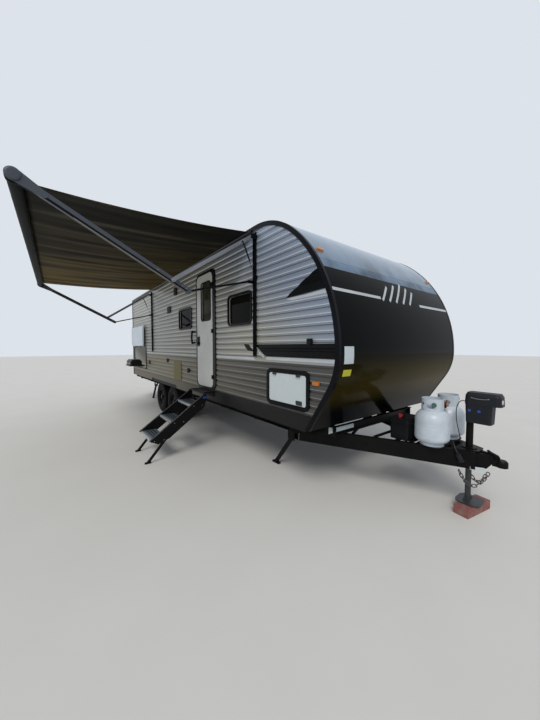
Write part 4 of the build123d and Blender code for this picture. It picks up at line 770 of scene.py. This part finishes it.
def addStepDetails():
    nosing, borders, edges, bolts = [], [], [], []
    for front, top in steps["fronts"]:
        # rolled aluminium nosing over the front edge of the tread
        lip = [(front - 0.003, top - 0.028), (front - 0.003, top + 0.0005), (front - 0.001, top + 0.0028),
               (front + 0.026, top + 0.0028), (front + 0.028, top + 0.0008), (front + 0.028, top), (front, top),
               (front, top - 0.028)]
        nosing.append(capped(*([(x, y, z) for y, z in lip] for x in (steps["far"] + 0.002, steps["near"] - 0.002))))
        for y in (front + 0.075, front + 0.115, front + 0.155):
            borders.append(bar((steps["far"] + 0.02, y, top + 0.0006), (steps["near"] - 0.02, y, top + 0.0006),
                               (0, 1, 0), 0.016, 0.002))
    fall = math.radians(steps["fall"])
    along, up = Vector((-math.cos(fall), -math.sin(fall))), Vector((-math.sin(fall), math.cos(fall)))
    top = Vector(steps["pivot"]) + up * 0.012
    for x, out in ((-2.975, 1), (-3.555, -1)):
        # a thin grey line along the top edge of each rail face: painted highlight
        for face in (1, -1):
            side = x + (0.0004 if (face == out) else -out * 0.018) + (0.0002 * face)
            a, b = top - along * 0.028 - up * 0.0035, top + along * 0.955 - up * 0.0035
            edges.append(bar((side, a.x, a.y), (side, b.x, b.y), (0, up.x, up.y), 0.005, 0.0012))
        for front, height in steps["fronts"]:
            for back in (0.04, 0.17):
                bolts.append(screwHead((x, front + back, height - 0.016), (out, 0, 0), 0.007))
    addPiece("stepNosings", nosing, brightAlloy, "entry_steps")
    addPiece("stepGripStrips", borders, mouldedBlack, "entry_steps")
    addPiece("stepRailEdgeHighlights", edges, beamGrey, "entry_steps")
    addPiece("stepBolts", bolts, galvanisedScrew, "entry_steps")
    # blank oval badge riveted to the outer face of the right rail
    x, y, z = steps["badge"]
    sides, points = 36, []
    for lift, grow in ((-0.0012, 1.0), (0.0012, 1.0), (0.0028, 0.9)):
        for angle in (2 * math.pi * step / sides for step in range(sides)):
            points.append((x + lift, y + 0.030 * grow * math.cos(angle), z + 0.019 * grow * math.sin(angle)))
    rim, tip = 2 * sides, 3 * sides
    faces = ringFaces(3, sides) + [(rim + i, rim + (i + 1) % sides, tip) for i in range(sides)]
    faces.append(tuple(reversed(range(sides))))
    addPiece("stepBadge", [(points + [(x + 0.0032, y, z)], faces)], blueNylon, "entry_steps")


addStepDetails()

cylinder = {"x": -0.262, "y": 0.188, "base": 0.606, "radius": 0.155, "collar": 0.098}
# faded moulded nylon knobs, and blank printed film
greenNylon = weathered("mouldedNylonGreen", "#3f6650", "#35543f", 0.45, fleck=0.2)
orangeNylon = weathered("mouldedNylonOrange", "#c9711f", "#a85a17", 0.42, fleck=0.2)
redNylon = weathered("mouldedNylonRed", "#b0262a", "#8e1f22", 0.4, fleck=0.2)
blankPlate = weathered("printedFilmBlankWhite", "#c9d6dc", "#bac6cb", 0.4, grainMm=4, fleck=0.12, bump=0.05)


def handWheel(centre, radius, height, lobes):
    # a fluted knob: its rim swells and dips round the turn
    points, faces = turned([(0, radius * 0.9), (0.002, radius), (height - 0.003, radius), (height, radius * 0.88),
                            (height, radius * 0.35), (height - 0.003, 0.0)], centre, (0, 0, 1), lobes * 8)
    middle = Vector(centre)
    for i, point in enumerate(points):
        ray = Vector((point.x - middle.x, point.y - middle.y, 0))
        if ray.length > radius * 0.8:
            dip = 1 - 0.055 * (1 - math.cos(lobes * math.atan2(ray.y, ray.x)))
            points[i] = Vector((middle.x + ray.x * dip, middle.y + ray.y * dip, point.z))
    return points, faces


def addGasDetails():
    seams, wheels, holeShades = [], [], []
    for side in (-1, 1):
        x, y, base = cylinder["x"], side * cylinder["y"], cylinder["base"]
        r = cylinder["radius"]
        for z in (base + 0.171, base + 0.092, base + 0.250):
            tall = 0.0045 if z == base + 0.171 else 0.0015
            seams.append(turned([(-tall, r - 0.0005), (-tall * 0.5, r + tall * 0.3), (tall * 0.5, r + tall * 0.3),
                                 (tall, r - 0.0005)], (x, y, z), (0, 0, 1), 96))
        wheels.append(handWheel((x, y, base + 0.4135), 0.0335, 0.019, 6))
        # rolled rim along the top of the collar
        rim = [(0.1255, cylinder["collar"] - 0.0042), (0.1295, cylinder["collar"] - 0.0045),
               (0.1300, cylinder["collar"] - 0.0015), (0.1285, cylinder["collar"] + 0.0012),
               (0.1245, cylinder["collar"] + 0.0006)]
        seams.append(turned(rim, (x, y, base + 0.330), (0, 0, 1), 72))
        # black patches on the collar stand for its cut-outs: painted shade in the holes
        for turn in (-135, -120, 45, 60):
            holeShades.append(onDrum((x, y), cylinder["collar"] + 0.0004, turn, 4.2, base + 0.398, base + 0.420, 0.005))
        # coupling nut of the hose, out through the cut in the collar
        facing = Vector((0.48, side * 0.877, 0))
        place = Vector((x, y, base + 0.408)) + facing * 0.098
        wheels.append(turned([(-0.05, 0.0), (-0.05, 0.009), (0.002, 0.009), (0.002, 0.019), (0.006, 0.021),
                              (0.022, 0.021), (0.026, 0.017), (0.026, 0.0)], place, facing, 20))
    addPiece("cylinderSeams", seams, cylinderWhite, "caravan")
    addPiece("handWheels", wheels, greenNylon, "caravan")
    addPiece("collarHoleShades", holeShades, mouldedBlack, "caravan")
    dial = [(0, 0.0), (0, 0.015), (0.003, 0.017), (0.014, 0.017), (0.017, 0.014), (0.017, 0.0)]
    addPiece("regulatorKnob", [handWheel((-0.242, 0, 1.0195), 0.0215, 0.012, 8),
                               turned(dial, (-0.2045, -0.012, 0.985), (1, 0, 0), 24)], orangeNylon, "caravan")


addGasDetails()

# the battery box's knob, and on the jack head its slot as (x, z), its switches along x and its work lamp
tongue = {"knob": (-0.534, -0.275), "boxTop": 0.828, "switches": (0.013, 0.088), "lamp": (0.2468, -0.028, 1.078),
          "slot": ((0.027, 1.0985), (0.045, 1.0945), (0.068, 1.0918), (0.092, 1.091), (0.116, 1.0918),
                   (0.139, 1.0945), (0.157, 1.0985))}


def addTongueDetails():
    x, y = tongue["knob"]
    addPiece("switchKnob", [turned([(0, 0.0228), (0.012, 0.0228), (0.0152, 0.020), (0.0152, 0.0)],
                                   (x, y, tongue["boxTop"]), (0, 0, 1), 32),
                            bar((x - 0.0208, y, 0.854), (x + 0.0208, y, 0.854), (0, 1, 0), 0.0155, 0.027)],
             redNylon, "caravan")
    # curved slot in the jack head's cover, with a screw at each end
    seam, screws, spots = [], [], tongue["slot"]
    for (x0, z0), (x1, z1) in zip(spots, spots[1:]):
        seam.append(bar((x0, -0.0748 + (z0 - 1.035) * 0.036, z0), (x1, -0.0748 + (z1 - 1.035) * 0.036, z1),
                        (0, 0, 1), 0.0032, 0.0034))
    for place in (spots[0], spots[-1]):
        screws.append(screwHead((place[0], -0.0735, place[1]), (0, -1, 0), 0.0055))
    addPiece("jackHeadSlot", seam, brightAlloy, "caravan")
    addPiece("jackHeadScrews", screws, galvanisedScrew, "caravan")
    # blank reflective tag that hangs on the side of the A-frame's tip, and a blank label on the front cross member
    along, out = Vector((0.85, 0.527, 0)), Vector((0.527, -0.85, 0))
    middle = Vector((0.0975, -0.0815, 0.449)) + out * 0.004
    addPiece("reflectiveTag", [bar(middle - along * 0.062, middle + along * 0.046, (0, 0, 1), 0.030, 0.0015)],
             blankPlate, "caravan")
    addPiece("frameLabelBlank", [bar((-1.0042, -0.868, 0.680), (-1.0042, -0.437, 0.680), (0, 0, 1), 0.068, 0.0012)],
             blankPlate, "caravan")
    switches = []
    for x in tongue["switches"]:
        switches.append(bar((x - 0.012, -0.0712, 0.976), (x + 0.012, -0.0712, 0.976), (0, 0.05, 1), 0.022, 0.004))
    addPiece("jackSwitches", switches, blueNylon, "caravan")
    # lens of the work lamp in the end of the head
    lens = turned([(0, 0.021), (0.003, 0.021), (0.006, 0.017), (0.0075, 0.0)], tongue["lamp"], (1, 0, 0.02), 28)
    addPiece("jackWorkLamp", [lens], roofPlastic, "caravan")


addTongueDetails()

griddle = {"knobs": (-8.20, -8.01, -7.82), "front": -1.4795, "height": 1.09, "knobRadius": 0.020}


def addKitchenDetails():
    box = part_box("kitchen_door")
    low, high = Vector(box[0]), Vector(box[1])
    y = low.y - 0.0006
    edges = []
    for a, b, across in (((low.x + 0.05, high.z - 0.008), (high.x - 0.05, high.z - 0.008), (0, 0, 1)),
                         ((low.x + 0.008, low.z + 0.09), (low.x + 0.008, high.z - 0.05), (1, 0, 0)),
                         ((high.x - 0.008, low.z + 0.09), (high.x - 0.008, high.z - 0.05), (1, 0, 0))):
        edges.append(bar((a[0], y, a[1]), (b[0], y, b[1]), across, 0.014, 0.0022))
    addPiece("kitchenDoorEdges", edges, trimBlack, "kitchen_door")
    knobs, r = [], griddle["knobRadius"]
    for x in griddle["knobs"]:
        knobs.append(turned([(0, r), (0.004, r * 1.07), (0.022, r * 0.95), (0.026, r * 0.75), (0.026, 0.0)],
                            (x, griddle["front"], griddle["height"]), (0, -1, 0), 24))
    addPiece("griddleKnobs", knobs, brightAlloy, "kitchen_griddle")


addKitchenDetails()
print("arms, steps, cylinders, tongue and kitchen detailed")

# cast vinyl film: smooth and glossier than the paint under it
silverVinyl = weathered("castVinylSilver", "#c3c8cc", "#b2b7bb", 0.3, 0.15, grainMm=4, fleck=0.08, bump=0.04)
blackVinyl = weathered("castVinylBlack", "#08090b", "#0e0f11", 0.24, grainMm=4, fleck=0.06, bump=0.04)
yellowVinyl = weathered("castVinylYellow", "#c9c72b", "#b5b32a", 0.35, grainMm=4, fleck=0.1, bump=0.04)


def ribFace(z):
    # distance of the ribbed face from the centre plane at height z
    t = (z - ribs["low"]) % ribs["pitch"]
    if t < ribs["groove"]:
        return ribs["face"] - ribs["depth"]
    if t < ribs["groove"] + ribs["slope"]:
        return ribs["face"] - ribs["depth"] * (1 - (t - ribs["groove"]) / ribs["slope"])
    if t < ribs["pitch"] - ribs["slope"]:
        return ribs["face"]
    return ribs["face"] - ribs["depth"] * (t - ribs["pitch"] + ribs["slope"]) / ribs["slope"]


def ribBreaks(low, high):
    heights = {low, high}
    row = 0
    while ribs["low"] + row * ribs["pitch"] < high:
        base = ribs["low"] + row * ribs["pitch"]
        for extra in (0, ribs["groove"], ribs["groove"] + ribs["slope"], ribs["pitch"] - ribs["slope"]):
            if low < base + extra < high:
                heights.add(base + extra)
        row += 1
    return sorted(heights)


# the nose of the side view from the roof down: radius and turn in degrees of each arc, then a straight tail
nose = {"start": (-1.864, 3.007), "arcs": ((1.054, 38.2), (1.635, 51.8), (0.625, 32.3)), "tail": 0.9}


def noseLine():
    # the nose as (height, x, outward normal) from the roof down
    (x, z), heading, line = nose["start"], 0.0, []
    for radius, turn in nose["arcs"]:
        for step in range(60):
            line.append((z, x, Vector((-math.sin(heading), 0, math.cos(heading)))))
            after = heading - math.radians(turn) / 60
            x += radius * (math.sin(heading) - math.sin(after))
            z += radius * (math.cos(after) - math.cos(heading))
            heading = after
    normal = Vector((-math.sin(heading), 0, math.cos(heading)))
    return line + [(z, x, normal), (z + nose["tail"] * math.sin(heading), x + nose["tail"] * math.cos(heading), normal)]


noseTable = noseLine()


def noseAt(z):
    for (z0, x0, n0), (z1, x1, n1) in zip(noseTable, noseTable[1:]):
        if z1 <= z <= z0:
            t = (z0 - z) / (z0 - z1)
            return x0 + (x1 - x0) * t, (n0 * (1 - t) + n1 * t).normalized()
    return noseTable[-1][1], noseTable[-1][2]


def spanAt(outline, z):
    # left and right end of a convex outline at height z
    found = []
    for (u0, z0), (u1, z1) in zip(outline, outline[1:] + outline[:1]):
        if abs(z1 - z0) < 1e-9:
            if abs(z - z0) < 1e-9:
                found += [u0, u1]
        elif min(z0, z1) - 1e-9 <= z <= max(z0, z1) + 1e-9:
            found.append(u0 + (u1 - u0) * (z - z0) / (z1 - z0))
    return (min(found), max(found)) if found else None


def layVinyl(name, outline, material, place):
    # a strip of film over ribs or nose: place is right, left or nose; outline runs in (x, z), or (y, z) on the nose
    low, high = min(z for u, z in outline), max(z for u, z in outline)
    if place == "nose":
        count = max(2, int((high - low) / 0.012))
        heights = {low + (high - low) * i / count for i in range(count + 1)}
    else:
        heights = set(ribBreaks(low, high))
    heights |= {z for u, z in outline}
    points = []
    for z in sorted(heights):
        ends = spanAt(outline, min(max(z, low), high))
        if ends is None:
            continue
        for u in ends:
            if place == "nose":
                x, normal = noseAt(z)
                points.append(Vector((x, u, z)) + normal * 0.0007)
            else:
                side = -1 if place == "right" else 1
                points.append(Vector((u, side * (ribFace(z) + 0.0007), z)))
    meshPiece(name, points, gridFaces(len(points) // 2, 2), material, "caravan")


def stroke(start, end, width):
    # a straight bar between two points as a convex outline
    run = Vector(end) - Vector(start)
    across = Vector((-run.y, run.x)).normalized() * width / 2
    return [tuple(Vector(start) + across), tuple(Vector(end) + across), tuple(Vector(end) - across),
            tuple(Vector(start) - across)]


sideGraphics = (
    ("band", blackVinyl, [(-1.872, 1.600), (-0.62, 1.600), (-0.62, 1.462), (-1.660, 1.462)]),
    ("bandLine", silverVinyl, [(-1.660, 1.456), (-0.62, 1.456), (-0.62, 1.424), (-1.640, 1.424)]),
    ("bandStart", silverVinyl, [(-1.872, 1.578), (-1.835, 1.556), (-1.668, 1.440), (-1.735, 1.455)]),
    ("fleck", blackVinyl, [(-2.127, 1.611), (-2.003, 1.601), (-1.905, 1.515), (-2.049, 1.528)]),
    ("wedge", blackVinyl, [(-1.310, 2.080), (-0.940, 2.262), (-0.855, 2.292), (-0.80, 2.292), (-0.70, 2.098)]),
    ("wedgeLine", silverVinyl, [(-1.290, 2.068), (-0.700, 2.090), (-0.700, 2.052), (-1.200, 2.046)]),
    ("lightBelt", silverVinyl, [(-6.985, 1.432), (-3.66, 1.432), (-3.66, 1.412), (-6.985, 1.412)]),
    ("lightBeltFront", silverVinyl, [(-2.89, 1.446), (-1.90, 1.446), (-1.86, 1.412), (-2.89, 1.412)]),
)
# the left side has no kitchen or door, so its light belt runs on
leftBelts = {"lightBelt": [(-8.54, 1.432), (-3.66, 1.432), (-3.66, 1.412), (-8.54, 1.412)],
             "lightBeltFront": [(-3.65, 1.432), (-1.90, 1.446), (-1.86, 1.412), (-3.65, 1.412)]}
for side in ("right", "left"):
    for name, dirtFilmAndGrooveShade, outline in sideGraphics:
        if side == "left":
            outline = leftBelts.get(name, outline)
        layVinyl("graphic_" + side + "_" + name, outline, dirtFilmAndGrooveShade, side)
noseStrokes = (
    ("lineRight", (-1.212, 2.090), (-0.431, 2.082), 0.030),
    ("lineLeft", (0.420, 2.070), (1.212, 2.070), 0.030),
    ("barA", (-0.400, 2.060), (-0.215, 2.235), 0.028),
    ("barB", (-0.265, 2.060), (-0.040, 2.272), 0.028),
    ("barC", (-0.130, 2.060), (0.135, 2.310), 0.028),
    ("barD", (0.020, 2.060), (0.245, 2.272), 0.028),
    ("barE", (0.170, 2.060), (0.355, 2.235), 0.028),
)
for name, start, end, width in noseStrokes:
    layVinyl("graphic_nose_" + name, stroke(start, end, width), silverVinyl, "nose")
layVinyl("stickerWhiteBlank", [(-1.155, 1.575), (-1.020, 1.575), (-1.020, 1.420), (-1.155, 1.420)], blankPlate, "nose")
layVinyl("stickerYellowBlank", [(-1.150, 1.368), (-1.035, 1.368), (-1.035, 1.308), (-1.150, 1.308)], yellowVinyl,
         "nose")
print("graphics laid")
